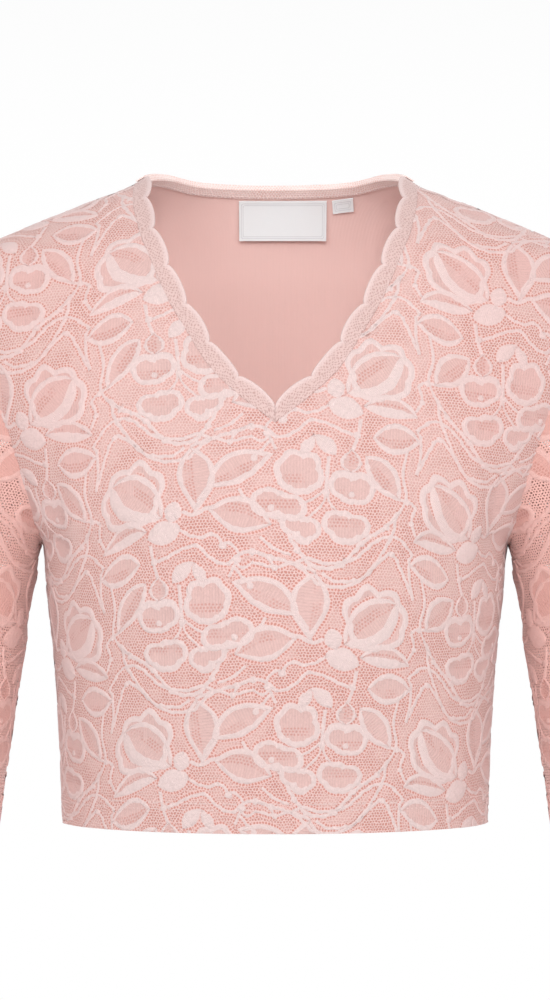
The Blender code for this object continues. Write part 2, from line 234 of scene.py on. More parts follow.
# %% [markdown]
# ## The form of the body
#
# The body is a stack of level rings. Each is half an ellipse in front and half a deeper or
# flatter one behind, and a table says how wide and deep they are from the neck to the hem.
# A front or back panel is the stretch of that form between its centre line and neckline on
# one side, and its side seam and armhole on the other.
#
# A knit that is worn pulls into soft drag lines below its armholes. A cloth simulation could
# find them, but this blouse is stretched over its form and hardly hangs, so a few low
# troughs and ridges are listed, and each moves the form along its own normal.

# %% Sizes of the body
FRONT, BACK = -1.0, 1.0
# Columns: height, half width at the side, depth to the front, depth to the back
BODY_RINGS = np.array(
    [
        (-3.0, 79.0, 15.0, 58.0),
        (-8.0, 88.0, 25.5, 62.5),
        (-14.3, 104.0, 33.0, 67.0),
        (-22.2, 125.0, 40.0, 71.5),
        (-31.3, 147.0, 47.5, 76.0),
        (-40.7, 169.5, 54.5, 80.0),
        (-50.0, 188.0, 60.0, 83.0),
        (-62.0, 196.0, 66.0, 86.0),
        (-85.0, 203.0, 76.0, 92.0),
        (-115.0, 200.0, 88.0, 97.0),
        (-140.0, 191.0, 96.5, 100.0),
        (-164.0, 178.0, 105.0, 101.0),
        (-185.0, 166.0, 111.5, 100.5),
        (-199.0, 158.0, 115.0, 99.5),
        (-215.0, 149.5, 118.5, 98.5),
        (-227.0, 142.0, 120.5, 97.5),
        (-258.0, 139.4, 121.5, 94.5),
        (-280.0, 136.9, 119.0, 92.0),
        (-306.0, 134.4, 114.0, 89.0),
        (-334.0, 132.5, 108.0, 86.5),
        (-365.0, 131.0, 102.0, 84.5),
        (-400.0, 130.0, 97.0, 83.0),
    ]
)
HEM_HEIGHT = -400.0
UNDERARM_HEIGHT = -227.0
SHOULDER_HEIGHT = -50.0
# Edge of the front along the V neck, from its tip up. Columns: height, half width
FRONT_NECK = np.array(
    [
        (-145.8, 0.0),
        (-131.6, 17.8),
        (-116.9, 32.7),
        (-97.0, 45.5),
        (-75.8, 57.9),
        (-53.7, 67.5),
        (-32.6, 75.8),
        (-12.9, 79.3),
        (-3.0, 79.0),
    ]
)
# Edge of the back round the neck. Columns: degrees from centre back, height
BACK_NECK = np.array(
    [(0.0, -4.4), (21.0, -4.1), (37.0, -3.3), (49.0, -1.8), (62.0, -0.6), (75.0, -1.0), (90.0, -3.0)]
)
ARMHOLE_FRONT = 46.0
ARMHOLE_BACK = 48.0
ARMHOLE_SKEW = 0.15
SEAM_GAP = 0.3
# Soft folds below the armholes, the same on both hands. Columns: side, where each starts and
# ends as distance from the centre line and height, half width, how far it stands out
BODY_FOLDS = [
    (FRONT, (135.0, -170.0), (128.0, -264.0), 7.0, -1.4),
    (FRONT, (121.0, -168.0), (118.0, -256.0), 7.0, 1.2),
    (FRONT, (114.0, -192.0), (62.0, -230.0), 9.0, 1.0),
    (FRONT, (108.0, -212.0), (60.0, -252.0), 9.0, -0.9),
    (FRONT, (102.0, -128.0), (80.0, -182.0), 9.0, -0.7),
    (BACK, (130.0, -180.0), (88.0, -226.0), 10.0, 1.1),
    (BACK, (122.0, -204.0), (84.0, -256.0), 10.0, -0.9),
]
# Shares of a fold's length over which it rises at its start and fades at its end
FOLD_RISE, FOLD_FADE = 0.3, 0.4

# %% The surface of the body
NECK_SAMPLES = 400


def ring_size(height, side):
    """Half width and depth of the body's ring at each height."""
    sizes = table_curve(BODY_RINGS, height)
    return sizes[..., 0], sizes[..., 1 if side == FRONT else 2]


def fold_reach(points, side):
    """How far the folds stand out: a bell across each one's line, fading to both its ends."""
    reach = np.zeros(points.shape[:-1])
    place = np.stack([np.abs(points[..., 0]), points[..., 2]], -1)
    for where, start, end, half_width, out in BODY_FOLDS:
        if where != side:
            continue
        run = np.subtract(end, start)
        share = (place - start) @ run / (run @ run)
        off = place - start - np.clip(share, 0, 1)[..., None] * run
        fade = smooth(share / FOLD_RISE) * smooth((1 - share) / FOLD_FADE)
        reach += out * fade * np.exp(-(off**2).sum(-1) / half_width**2)
    return reach


def body_point(theta, height, side):
    """x is W sin theta and y is D cos theta to the front or back, with W and D of the ring.

    The folds then move it along the normal.
    """
    width, depth = ring_size(height, side)
    across = side * (depth * np.cos(theta) + SEAM_GAP / 2)
    points = np.stack([width * np.sin(theta), across, height + 0 * theta], -1)
    return points + body_normal(theta, height, side) * fold_reach(points, side)[..., None]


def body_normal(theta, height, side):
    """Outward normal: the cross product of the surface's two tangents.

    The folds are left out of it. The ring's change with height is read over one millimetre.
    """
    width, depth = ring_size(height, side)
    above = ring_size(height + 0.5, side)
    below = ring_size(height - 0.5, side)
    sine, cosine = np.sin(theta), np.cos(theta)
    flare = width * (above[1] - below[1]) * cosine**2 + depth * (above[0] - below[0]) * sine**2
    return unit(np.stack([depth * sine, side * width * cosine, -flare], -1))


def armhole(alpha, side):
    """Angle and height of the armhole at alpha, 0 at the shoulder and pi at the underarm."""
    middle = (SHOULDER_HEIGHT + UNDERARM_HEIGHT) / 2
    half = (SHOULDER_HEIGHT - UNDERARM_HEIGHT) / 2
    height = middle + half * np.cos(alpha)
    reach = ARMHOLE_FRONT if side == FRONT else ARMHOLE_BACK
    away = reach * np.sin(alpha) * (1 - ARMHOLE_SKEW * np.cos(alpha))
    theta = np.arccos(np.clip(away / ring_size(height, side)[1], 0.0, 1.0))
    return theta, height


def neckline(fractions, side):
    """Angle and height at these fractions of the way from the centre to the shoulder seam."""
    if side == FRONT:
        height = np.linspace(FRONT_NECK[0, 0], FRONT_NECK[-1, 0], NECK_SAMPLES)
        half_width = table_curve(FRONT_NECK, height)[:, 0]
        theta = np.arcsin(np.clip(half_width / ring_size(height, side)[0], 0.0, 1.0))
    else:
        degrees = np.linspace(0.0, 90.0, NECK_SAMPLES)
        height = table_curve(BACK_NECK, degrees)[:, 0]
        theta = np.radians(degrees)
    length = lengths_along(body_point(theta, height, side))
    at = np.asarray(fractions) * length[-1]
    return np.interp(at, length, theta), np.interp(at, length, height)


# %% Half a panel as a lattice
SIDE_SEAM_ROWS = 32
ARMHOLE_ROWS = 48
FRONT_CENTRE_ROWS = 44
BACK_CENTRE_ROWS = 56
# The lattice is closer beside the centre line and beside the armhole
COLUMN_PLACES = (0.0, 0.07, 0.18, 0.31, 0.45, 0.6, 0.74, 0.88, 1.0)
COLUMNS = 32


def centre_rows(side):
    """Number of the row at which a panel's centre line meets its neckline."""
    return FRONT_CENTRE_ROWS if side == FRONT else BACK_CENTRE_ROWS


def half_panel(side):
    """Angle and height at each row and column of a panel's right half.

    Rows run straight from the centre line or the neckline to the side seam or the armhole,
    and are level below the underarm.
    """
    neck_rows = SIDE_SEAM_ROWS + ARMHOLE_ROWS - centre_rows(side)
    neck = np.column_stack(neckline(np.linspace(0, 1, neck_rows + 1), side))
    stops = [0, SIDE_SEAM_ROWS, centre_rows(side)]
    levels = [HEM_HEIGHT, UNDERARM_HEIGHT, neck[0, 1]]
    rise = np.interp(np.arange(centre_rows(side) + 1), stops, levels)
    left = np.vstack([np.column_stack([0 * rise, rise])[:-1], neck])
    rise = np.linspace(HEM_HEIGHT, UNDERARM_HEIGHT, SIDE_SEAM_ROWS + 1)
    seam = np.column_stack([0 * rise + np.pi / 2, rise])
    alpha = np.linspace(np.pi, 0.0, ARMHOLE_ROWS + 1)
    right = np.vstack([seam[:-1], np.column_stack(armhole(alpha, side))])
    marks = np.linspace(0.0, 1.0, len(COLUMN_PLACES))
    mix = np.interp(np.linspace(0.0, 1.0, COLUMNS + 1), marks, COLUMN_PLACES)[None, :, None]
    return left[:, None] * (1 - mix) + right[:, None] * mix


halves = {side: half_panel(side) for side in (FRONT, BACK)}
print("lattice of half a panel:", halves[FRONT].shape[:2])

# %% [markdown]
# ## Laying the cloth flat
#
# Lace is patterned before it is cut, so its flowers belong on the flat cloth and not on
# the body. Blender's own unwrapping keeps angles rather than sizes, so a flower would grow
# or shrink with it. So each lattice is laid flat here by its own cells: it starts from a rough
# guess, and pass by pass every cell of it regains its true size and shape. A place on the
# flat cloth is then found on the body again by Newton's method.

# %% Flatten a lattice, and find places on it
# Each pass goes this many times as far as the cells ask, which settles sooner
OVERSHOOT = 1.8


def cell_corners(values):
    """The four corners of every cell of a lattice, as four arrays."""
    return values[:-1, :-1], values[:-1, 1:], values[1:, 1:], values[1:, :-1]


def lay_flat(points, start, held=None, passes=3000):
    """Flat places of a lattice whose cells keep their size and shape, as near as they can.

    Flat places are complex numbers here. In every pass each cell turns its true shape to
    fit its corners, and each point moves past the mean of the places its cells ask for.
    The first points of the rows in held stay on a straight line, the centre line.
    """
    corners = np.array(cell_corners(points))
    right = unit(corners[1] - corners[0] + corners[2] - corners[3])
    up = corners[3] - corners[0] + corners[2] - corners[1]
    up = unit(up - right * (up * right).sum(-1, keepdims=True))
    corners = corners - corners.mean(0)
    shape = (corners * right).sum(-1) + 1j * (corners * up).sum(-1)
    flat = start[..., 0] + 1j * start[..., 1]
    share = np.zeros(flat.shape)
    for part in cell_corners(share):
        part += 1
    for _ in range(passes):
        now = np.array(cell_corners(flat))
        middle = now.mean(0)
        turn = (shape.conj() * (now - middle)).sum(0)
        asked = middle + shape * turn / np.maximum(np.abs(turn), 1e-9)
        moved = np.zeros_like(flat)
        for part, places in zip(cell_corners(moved), asked):
            part += places
        flat += (moved / share - flat) * OVERSHOOT
        if held is not None:
            flat[held, 0] = 1j * flat[held, 0].imag
    now = np.array(cell_corners(flat))
    sizes = (np.abs(now - now.mean(0)) ** 2).sum(0) / (np.abs(shape) ** 2).sum(0)
    spread = np.percentile(np.sqrt(sizes), [1, 99])
    across, upward = now[2] - now[0], now[3] - now[1]
    turned = ((across.conj() * upward).imag < 0).sum()
    print(f"laid flat: cells {spread[0]:.3f} to {spread[1]:.3f} of true size, {turned} folded")
    return np.stack([flat.real, flat.imag], -1)


def read_lattice(lattice, at):
    """Value at each (row, column), and its change by a row and by a column, in bilinear cells."""
    rows, columns = lattice.shape[0] - 2, lattice.shape[1] - 2
    i = np.clip(np.floor(at[:, 0]).astype(int), 0, rows)
    j = np.clip(np.floor(at[:, 1]).astype(int), 0, columns)
    f = (at[:, 0] - i)[:, None]
    g = (at[:, 1] - j)[:, None]
    a, b = lattice[i, j], lattice[i, j + 1]
    c, d = lattice[i + 1, j + 1], lattice[i + 1, j]
    near, far = a * (1 - g) + b * g, d * (1 - g) + c * g
    by_column = (b - a) * (1 - f) + (c - d) * f
    return near * (1 - f) + far * f, far - near, by_column


def locate(flat, goals, passes=16):
    """Row and column of each flat place, by Newton's steps from the nearest coarse node."""
    size = np.array(flat.shape[:2]) - 1
    rows, columns = np.arange(0, size[0] + 1, 4), np.arange(0, size[1] + 1, 4)
    nodes = flat[np.ix_(rows, columns)].reshape(-1, 2)
    starts = np.stack(np.meshgrid(rows, columns, indexing="ij"), -1).reshape(-1, 2)
    nearest = [
        ((part[:, None] - nodes) ** 2).sum(-1).argmin(1)
        for part in np.array_split(goals, len(goals) // 20000 + 1)
    ]
    at = starts[np.concatenate(nearest)].astype(float)
    for _ in range(passes):
        place, by_row, by_column = read_lattice(flat, at)
        gap = goals - place
        turn = by_row[:, 0] * by_column[:, 1] - by_row[:, 1] * by_column[:, 0]
        turn = np.where(np.abs(turn) < 1e-3, 1e-3, turn)
        row_step = (gap[:, 0] * by_column[:, 1] - gap[:, 1] * by_column[:, 0]) / turn
        column_step = (by_row[:, 0] * gap[:, 1] - by_row[:, 1] * gap[:, 0]) / turn
        at += np.clip(np.column_stack([row_step, column_step]), -3.0, 3.0)
        at = np.clip(at, -1.0, size + 1.0)
    return at


# %% Lay both half panels flat
# Height at which the cloth starts to turn over the shoulder, and the height it takes
SHOULDER_TURN_FROM, SHOULDER_TURN_OVER = -110.0, 70.0


def flat_panel(side):
    """Flat places of a panel's right half. Its hem is at 0 and the centre line is kept straight."""
    theta, height = np.moveaxis(halves[side], -1, 0)
    width, depth = ring_size(height, side)
    points = body_point(theta, height, side)
    # Low down the cloth wraps a tube, and over the shoulder it lies nearly level
    over_shoulder = smooth((height - SHOULDER_TURN_FROM) / SHOULDER_TURN_OVER)
    wrapped = theta * (width + depth) / 2
    start = np.stack(
        [wrapped * (1 - over_shoulder) + points[..., 0] * over_shoulder, height - HEM_HEIGHT], -1
    )
    flat = lay_flat(points, start, held=slice(0, centre_rows(side) + 1))
    return flat - np.array([0.0, flat[0, 0, 1]])


panels_flat = {side: flat_panel(side) for side in (FRONT, BACK)}
for side, name in ((FRONT, "front"), (BACK, "back")):
    low, high = panels_flat[side].min((0, 1)), panels_flat[side].max((0, 1))
    print(f"{name} cut: {2 * high[0]:.0f} wide and {high[1] - low[1]:.0f} mm long")

# %% [markdown]
# ## Charting the lace
#
# The lace is worked in three heights: a flat net, smooth fillings, and raised cord round
# every shape. Past the cord the knitting opens into one row of larger meshes, which sets
# each flower off from the net. A picture of lace could be laid on the body instead, but
# thread that stands off its net catches light and shade from every side, so each shape is
# a low mesh of its own.
#
# One repeat is charted as a list of petals, leaves, blooms and thin vines, each a
# simple formula with a few sizes. The next column of the cloth holds the same repeat
# turned over and dropped by half, as the lace has it.

# %% Petals, blooms and vines
CORD, FILLING, RIM = 0, 1, 2
# Shares of the cord's height at which the filling, the row of meshes and a vine lie
FILLING_SHARE = 0.42
RIM_SHARE = 0.28
VINE_HEIGHT = 0.75
# Shares of a cord's width and of its height across its round section
CORD_PLACES = np.array([0.0, 0.25, 0.7, 1.0])
CORD_LEVELS = [0.0, 0.85, 1.0]
# The row of meshes starts under the cord and ends this far outside the outline
RIM_REACH = np.array([-0.3, 1.5])
VINE_PLACES = np.array([-0.5, -0.22, 0.22, 0.5])
# Share of its charted width that a vine is made with
VINE_SHARE = 0.86
VINE_STEP = 2.0
SCALLOP_LENGTH = 7.0
PETAL_STEPS = 16
# Points round a bloom and round a knot
BLOOM_STEPS, KNOT_STEPS = 40, 8
# Each wave of the wander: cycles a millimetre in x and in y, start, how far in millimetres
WANDER = [(0.23, 0.11, 0.3, 0.20), (-0.09, 0.26, 1.7, 0.20), (0.31, -0.19, 4.0, 0.14)]


def wander(flat):
    """A small uneven shift of flat places: a sum of sines that run in three directions."""
    shift = np.zeros_like(flat)
    for by_x, by_y, start, far in WANDER:
        turn = 2 * np.pi * (flat[:, 0] * by_x + flat[:, 1] * by_y) + start
        shift += far * np.column_stack([np.sin(turn), np.cos(1.3 * turn)])
    return shift


def triangles_of(index, slots_across):
    """Two triangles for each cell of a grid, and the slot of each."""
    a, b, c, d = grid_quads(index).T
    slots = np.tile(slots_across, len(index) - 1)
    return np.vstack([np.column_stack([a, b, c]), np.column_stack([a, c, d])]), np.tile(slots, 2)


def petal(base, tip, half_width, bend, fullness, lean, cord_right, cord_left, row):
    """A petal on a bent middle line. Its half width is h sin(pi s^lean)^fullness along s.

    Across it go a round cord, the filling and a round cord. The threads' own places are
    the distance along it, and the distance across from its row of small holes. It gives
    the shape and, for the row of meshes round it, its outline.
    """
    base, tip = np.array(base, float), np.array(tip, float)
    length = np.linalg.norm(tip - base)
    along = (tip - base) / length
    across = np.array([-along[1], along[0]])
    s = np.linspace(0.0, 1.0, PETAL_STEPS + 1)[:, None]
    middle = base + along * length * s + across * bend * 4 * s * (1 - s)
    run = unit(along * length + across * bend * 4 * (1 - 2 * s))
    sideways = np.stack([-run[:, 1], run[:, 0]], -1)
    half = half_width * np.sin(np.pi * s**lean) ** fullness
    right = np.minimum(-half + CORD_PLACES * cord_right, 0.0)
    left = np.maximum(half - CORD_PLACES[::-1] * cord_left, 0.0)
    offset = np.hstack([right, 0 * half, left])
    solid = cord_right >= half_width
    inside = 1.0 if solid else FILLING_SHARE
    filled = [inside, inside * 1.05, inside]
    level = np.array([*CORD_LEVELS, *filled, *CORD_LEVELS[::-1]])
    slots = np.array([CORD] * 3 + [CORD if solid else FILLING] * 2 + [CORD] * 3)
    flat = middle[:, None] + sideways[:, None] * offset[..., None]
    thread = np.stack([s * length + 0 * offset, offset - row * half], -1)
    points = np.dstack([flat, level + 0 * offset, thread]).reshape(-1, 5)
    index = np.arange(offset.size).reshape(offset.shape)
    shape = (points, *triangles_of(index[:, ::-1], slots[::-1]))
    return shape, np.vstack([flat[:, 0], flat[::-1, -1]])


def bloom(centre, floor, lobes, cord, crescent, crescent_at, row, steps):
    """A shape round a centre, and its outline. Its reach at an angle is its furthest lobe's.

    A lobe falls from its reach to the floor as 1 - (angle off / spread)^roundness. The
    cord widens by a crescent on one side, as cosine squared.
    """
    phi = np.linspace(0.0, 2 * np.pi, steps, endpoint=False)
    reach = np.full(steps, float(floor))
    for angle, lobe_reach, spread, roundness in lobes:
        off = np.abs((np.degrees(phi) - angle + 180) % 360 - 180) / spread
        fall = 1 - np.clip(off, 0, 1) ** roundness
        reach = np.maximum(reach, floor + (lobe_reach - floor) * fall)
    turn = np.maximum(np.cos(phi - np.radians(crescent_at)), 0.0) ** 2
    width = cord + crescent * turn
    solid = cord >= floor
    # A cord never reaches quite to the middle, where the inner ring would close up
    rings = [reach - np.minimum(k * width, 0.97 * reach) for k in CORD_PLACES]
    inside = 1.0 if solid else FILLING_SHARE
    level = np.repeat([*CORD_LEVELS, inside], steps)
    r = np.concatenate(rings)
    angle = np.tile(phi, 4)
    local = np.column_stack([r * np.cos(angle), r * np.sin(angle)])
    thread = local - np.array([0.0, row * floor])
    points = np.column_stack([local + centre, level, thread])
    middle = np.array([[*centre, inside, 0.0, -row * floor]])
    index = np.arange(4 * steps).reshape(4, steps)
    index = np.column_stack([index, index[:, :1]])
    faces, slots = triangles_of(index, np.full(steps, CORD))
    inner = index[3]
    fan = np.column_stack([np.full(steps, 4 * steps), inner[:-1], inner[1:]])
    fan_slots = np.full(steps, CORD if solid else FILLING)
    shape = np.vstack([points, middle]), np.vstack([faces, fan]), np.append(slots, fan_slots)
    return shape, points[:steps, :2]


def vine(stops, width, wave):
    """A thin line of thread on a Catmull-Rom curve through its stops, and its outline.

    It moves to one side by wave |sin(pi distance / scallop length)|, which gives it small
    scallops, and its section is a low round rib.
    """
    stops = np.array(stops, float)
    ends = np.vstack([2 * stops[0] - stops[1], stops, 2 * stops[-1] - stops[-2]])
    t = np.linspace(0.0, 1.0, 12, endpoint=False)[:, None]
    pieces = []
    for a, b, c, d in zip(ends, ends[1:], ends[2:], ends[3:]):
        bent = (2 * a - 5 * b + 4 * c - d) * t**2 + (3 * b - 3 * c + d - a) * t**3
        pieces.append((2 * b + (c - a) * t + bent) / 2)
    line = np.vstack([*pieces, stops[-1:]])
    length = lengths_along(line)
    step = VINE_STEP if wave == 0 else SCALLOP_LENGTH / 4
    at = np.linspace(0.0, length[-1], max(2, int(round(length[-1] / step))) + 1)
    line = np.column_stack([np.interp(at, length, column) for column in line.T])
    run = unit(np.gradient(line, axis=0))
    sideways = np.stack([-run[:, 1], run[:, 0]], -1)
    line = line + sideways * (wave * np.abs(np.sin(np.pi * at / SCALLOP_LENGTH)))[:, None]
    offset = VINE_PLACES * width * VINE_SHARE
    level = np.array([0.0, VINE_HEIGHT, VINE_HEIGHT, 0.0])
    flat = line[:, None] + sideways[:, None] * offset[None, :, None]
    across = 0 * at[:, None] + offset
    thread = np.stack([at[:, None] + 0 * offset, across], -1)
    points = np.dstack([flat, level + 0 * across, thread]).reshape(-1, 5)
    index = np.arange(across.size).reshape(across.shape)
    shape = (points, *triangles_of(index[:, ::-1], np.full(3, CORD)))
    return shape, np.vstack([flat[:, 0], flat[::-1, -1]])


def rim(outline):
    """A row of open meshes round a shape: a flat strip that reaches out from its outline."""
    run = unit(np.roll(outline, -1, 0) - np.roll(outline, 1, 0))
    outward = np.stack([run[:, 1], -run[:, 0]], -1)
    ring = np.append(np.arange(len(outline)), 0)
    outline, outward = outline[ring], outward[ring]
    flat = outline[:, None] + outward[:, None] * RIM_REACH[:, None]
    around = lengths_along(outline)[:, None] + 0 * RIM_REACH
    thread = np.stack([around, 0 * around + RIM_REACH], -1)
    points = np.dstack([flat, RIM_SHARE + 0 * around, thread]).reshape(-1, 5)
    index = np.arange(around.size).reshape(around.shape)
    return (points, *triangles_of(index, np.array([RIM])))


# %% [markdown]
# ### The chart
#
# Places are millimetres from the middle of the repeat. A tulip leans over two solid
# sepals with a pointed crown behind it, a bloom of rounded wings hangs below, leaves fill
# the corners, thin scalloped vines run between them over the net, and a knot of thread
# lies where vines meet.

# %% The chart of one repeat
# Columns: base, tip, half width, bend, fullness, lean, right cord, left cord, row of holes
PETALS = [
    ((0.5, 33.5), (-32.0, 57.5), 13.8, 0.0, 0.6, 1.05, 3.8, 7.6, -0.25),
    ((-9.0, 25.5), (-42.0, 20.5), 7.0, -3.0, 0.75, 1.0, 2.6, 6.4, 0.1),
    ((20.0, 36.0), (17.5, 74.5), 11.6, -2.0, 0.75, 1.2, 3.6, 3.6, 0.35),
    ((26.5, 50.0), (64.0, 69.0), 9.6, 2.5, 0.85, 0.95, 3.8, 3.4, -0.3),
    ((27.5, 37.5), (63.5, 27.5), 11.0, 1.5, 0.85, 1.0, 3.6, 3.8, 0.3),
    ((-15.0, 7.0), (-44.0, 6.5), 9.8, 0.0, 0.75, 0.95, 3.4, 3.6, 0.3),
    ((-32.0, -30.0), (-11.0, -4.5), 8.8, 1.0, 0.7, 1.1, 3.6, 3.2, -0.2),
    ((-2.5, -14.5), (-3.0, -0.5), 6.6, 0.0, 0.8, 0.8, 2.2, 2.2, 0.2),
    ((6.0, -4.5), (19.0, 7.5), 4.8, 1.0, 0.8, 0.9, 4.9, 4.9, 0.0),
    ((26.5, -4.0), (19.0, 7.5), 3.8, 1.0, 0.8, 0.9, 3.9, 3.9, 0.0),
    ((-9.5, 21.5), (11.5, 28.0), 7.0, 0.0, 0.62, 1.0, 7.1, 7.1, 0.0),
    ((4.5, 30.5), (9.0, 42.5), 5.6, 0.0, 0.6, 1.0, 5.7, 5.7, 0.0),
]
# Columns: centre, floor, lobes as (degrees, reach, spread, roundness), cord, crescent,
# where the crescent is, row of holes
BLOOMS = [
    (
        (-17.0, 45.0),
        16.5,
        [(77, 25.0, 30, 1.3), (126, 24.0, 36, 1.6), (168, 23.5, 40, 1.8), (205, 22.0, 36, 1.6),
         (38, 23.0, 34, 1.6)],
        4.2,
        0.0,
        0.0,
        2.0,
    ),
    ((-3.0, -23.5), 10.0, [(182, 14.5, 75, 2), (22, 14.0, 60, 2)], 3.6, 2.8, 92, -0.35),
    (
        (26.0, -15.5),
        10.8,
        [(62, 15.8, 38, 2.2), (130, 14.8, 38, 2.2), (18, 15.6, 48, 2), (335, 14.4, 50, 2),
         (285, 13.4, 50, 2), (245, 13.2, 50, 2), (200, 14.2, 50, 2)],
        4.0,
        0.0,
        0.0,
        -0.3,
    ),
    (
        (38.5, -34.5),
        9.0,
        [(14, 16.0, 62, 2), (192, 16.8, 55, 2), (50, 13.0, 40, 2)],
        3.6,
        2.6,
        262,
        0.1,
    ),
    (
        (2.0, -45.0),
        8.5,
        [(188, 17.0, 50, 1.8), (8, 12.8, 60, 2), (270, 11.8, 75, 2), (228, 13.6, 50, 2)],
        3.6,
        0.8,
        255,
        0.1,
    ),
    (
        (24.5, -48.0),
        7.4,
        [(22, 14.0, 46, 2), (182, 10.5, 60, 2), (265, 9.4, 70, 2)],
        3.4,
        1.8,
        300,
        2.0,
    ),
]
# Columns: width, wave, stops
VINES = [
    (3.0, 0.0, [(-8.0, 18.0), (-6.5, 8.0), (-3.5, -1.0)]),
    (3.4, 0.0, [(12.5, 36.5), (18.5, 34.5), (25.0, 37.5), (31.0, 39.0)]),
    (3.0, 0.0, [(20.0, 36.0), (22.5, 44.0), (28.0, 51.0)]),
    (3.2, 0.0, [(10.0, -5.0), (11.0, -16.0), (11.5, -27.0)]),
    (2.2, 0.0, [(11.5, -26.0), (9.0, -33.5), (2.5, -40.0)]),
    (2.2, 0.0, [(11.5, -26.0), (13.5, -33.0), (22.0, -42.0)]),
    (2.2, 0.0, [(12.0, -25.0), (20.0, -31.0), (27.0, -34.0)]),
    (2.8, 0.5, [(-3.5, 8.0), (3.0, 10.5), (11.0, 14.5), (21.0, 16.5), (26.0, 11.5), (32.5, 7.0),
                (38.0, 5.5), (41.5, 7.5), (45.5, 11.0), (53.0, 13.0)]),
    (2.6, 0.5, [(11.0, 26.0), (16.5, 22.5), (24.0, 21.0), (29.5, 23.0), (33.5, 20.5), (36.0, 16.5),
                (40.0, 17.5), (45.5, 11.0)]),
    (2.4, 0.0, [(44.0, 10.0), (42.0, 4.0), (39.5, -1.5)]),
    (2.6, 0.0, [(43.0, 7.0), (47.0, 3.5), (53.0, 6.5)]),
    (2.6, 0.5, [(42.0, 4.0), (47.0, -2.0), (51.5, -6.5)]),
    (2.6, 0.0, [(-42.0, 40.5), (-44.5, 32.0), (-41.0, 24.0)]),
    (2.6, 0.5, [(-42.0, -33.0), (-37.0, -30.5), (-32.0, -29.5)]),
    (2.8, 0.0, [(-42.0, 12.5), (-44.5, 9.0), (-43.5, 6.5)]),
    (2.6, 0.0, [(-44.5, 7.0), (-44.0, -4.0), (-42.0, -13.5)]),
    (2.6, 0.0, [(-36.0, 0.0), (-33.5, -14.0), (-36.0, -27.0), (-32.0, -36.0), (-24.0, -45.0)]),
    (3.4, 0.6, [(-32.5, -36.0), (-24.0, -45.5), (-15.5, -51.0), (-9.0, -55.5), (-4.0, -61.5),
                (2.5, -68.0), (11.5, -70.5), (21.0, -68.0), (28.0, -60.0), (34.0, -50.0),
                (38.0, -43.0)]),
    (2.8, 0.5, [(-30.0, -39.0), (-28.0, -50.0), (-20.5, -63.0), (-16.0, -69.0), (-8.0, -77.0),
                (4.0, -81.0), (17.0, -79.0)]),
    (3.0, 0.5, [(17.0, -79.0), (24.0, -72.0), (32.5, -67.0), (42.5, -64.5), (53.0, -60.5)]),
    (2.6, 0.0, [(31.0, -63.0), (40.0, -59.5), (48.0, -53.0)]),
    (2.8, 0.5, [(-42.0, 86.0), (-37.0, 91.0), (-31.0, 95.5), (-22.0, 95.0), (-14.0, 90.0),
                (-6.0, 83.0), (3.0, 80.0), (13.5, 79.5), (22.0, 82.0), (30.0, 79.0)]),
    (2.8, 0.5, [(-42.0, 60.0), (-38.5, 67.0), (-34.0, 77.0), (-28.0, 86.0), (-20.0, 81.0),
                (-11.5, 72.5), (-5.0, 70.0), (7.0, 69.5), (14.0, 74.0)]),
    (2.4, 0.0, [(45.0, 49.0), (48.5, 43.5), (53.0, 40.5)]),
    (2.6, 0.5, [(17.5, 74.5), (30.0, 79.0), (40.0, 77.0), (53.0, 80.0)]),
    (2.4, 0.0, [(40.0, 77.0), (45.0, 84.0), (53.0, 86.0)]),
]
# Columns: centre, reach
KNOTS = [
    ((36.0, 16.5), 2.6), ((29.5, 23.0), 1.8), ((52.5, 12.5), 2.4), ((44.0, 8.5), 2.8),
    ((51.5, -6.5), 2.4), ((40.0, 77.0), 2.2), ((-6.0, 8.0), 2.6), ((11.5, -27.0), 2.6),
    ((28.0, -60.0), 2.4),
    ((42.5, -64.5), 2.6), ((-24.0, -45.5), 2.4), ((2.5, -68.0), 2.0), ((-28.0, 86.0), 2.2),
    ((-5.0, 70.0), 2.0), ((-44.5, 31.0), 2.0), ((-9.0, -55.5), 2.2), ((21.0, -68.0), 2.0),
    ((-37.0, -30.5), 2.0), ((-3.0, -27.5), 2.2), ((42.0, -36.0), 2.2),
]


def chart_of_one_repeat(with_rims):
    """Joins every shape of the chart: places with height and thread, triangles and slots."""
    drawn = [bloom(*row, BLOOM_STEPS) for row in BLOOMS]
    drawn += [petal(*row) for row in PETALS]
    drawn += [vine(stops, width, wave) for width, wave, stops in VINES]
    shapes = [shape for shape, _ in drawn]
    if with_rims:
        shapes += [rim(outline) for _, outline in drawn]
    shapes += [bloom(at, reach, [], reach, 0, 0, 0.3, KNOT_STEPS)[0] for at, reach in KNOTS]
    starts = np.cumsum([0] + [len(points) for points, _, _ in shapes[:-1]])
    points = np.vstack([points for points, _, _ in shapes])
    points[:, :2] += wander(points[:, :2])
    faces = np.vstack([faces + start for (_, faces, _), start in zip(shapes, starts)])
    return points, faces, np.concatenate([slots for _, _, slots in shapes])


body_chart, sleeve_chart = chart_of_one_repeat(True), chart_of_one_repeat(False)
print(f"one repeat: {len(body_chart[0])} points, {len(body_chart[1])} triangles")


# %% Repeat the chart over the cloth
# The columns lie in pairs: from one to its partner, and from a pair to the next
WIDE_GAP, NARROW_GAP, REPEAT_HEIGHT = 105.0, 84.0, 147.0
# How far a repeat may reach from its middle, to each side and up or down
REPEAT_REACH = np.array([70.0, 95.0])


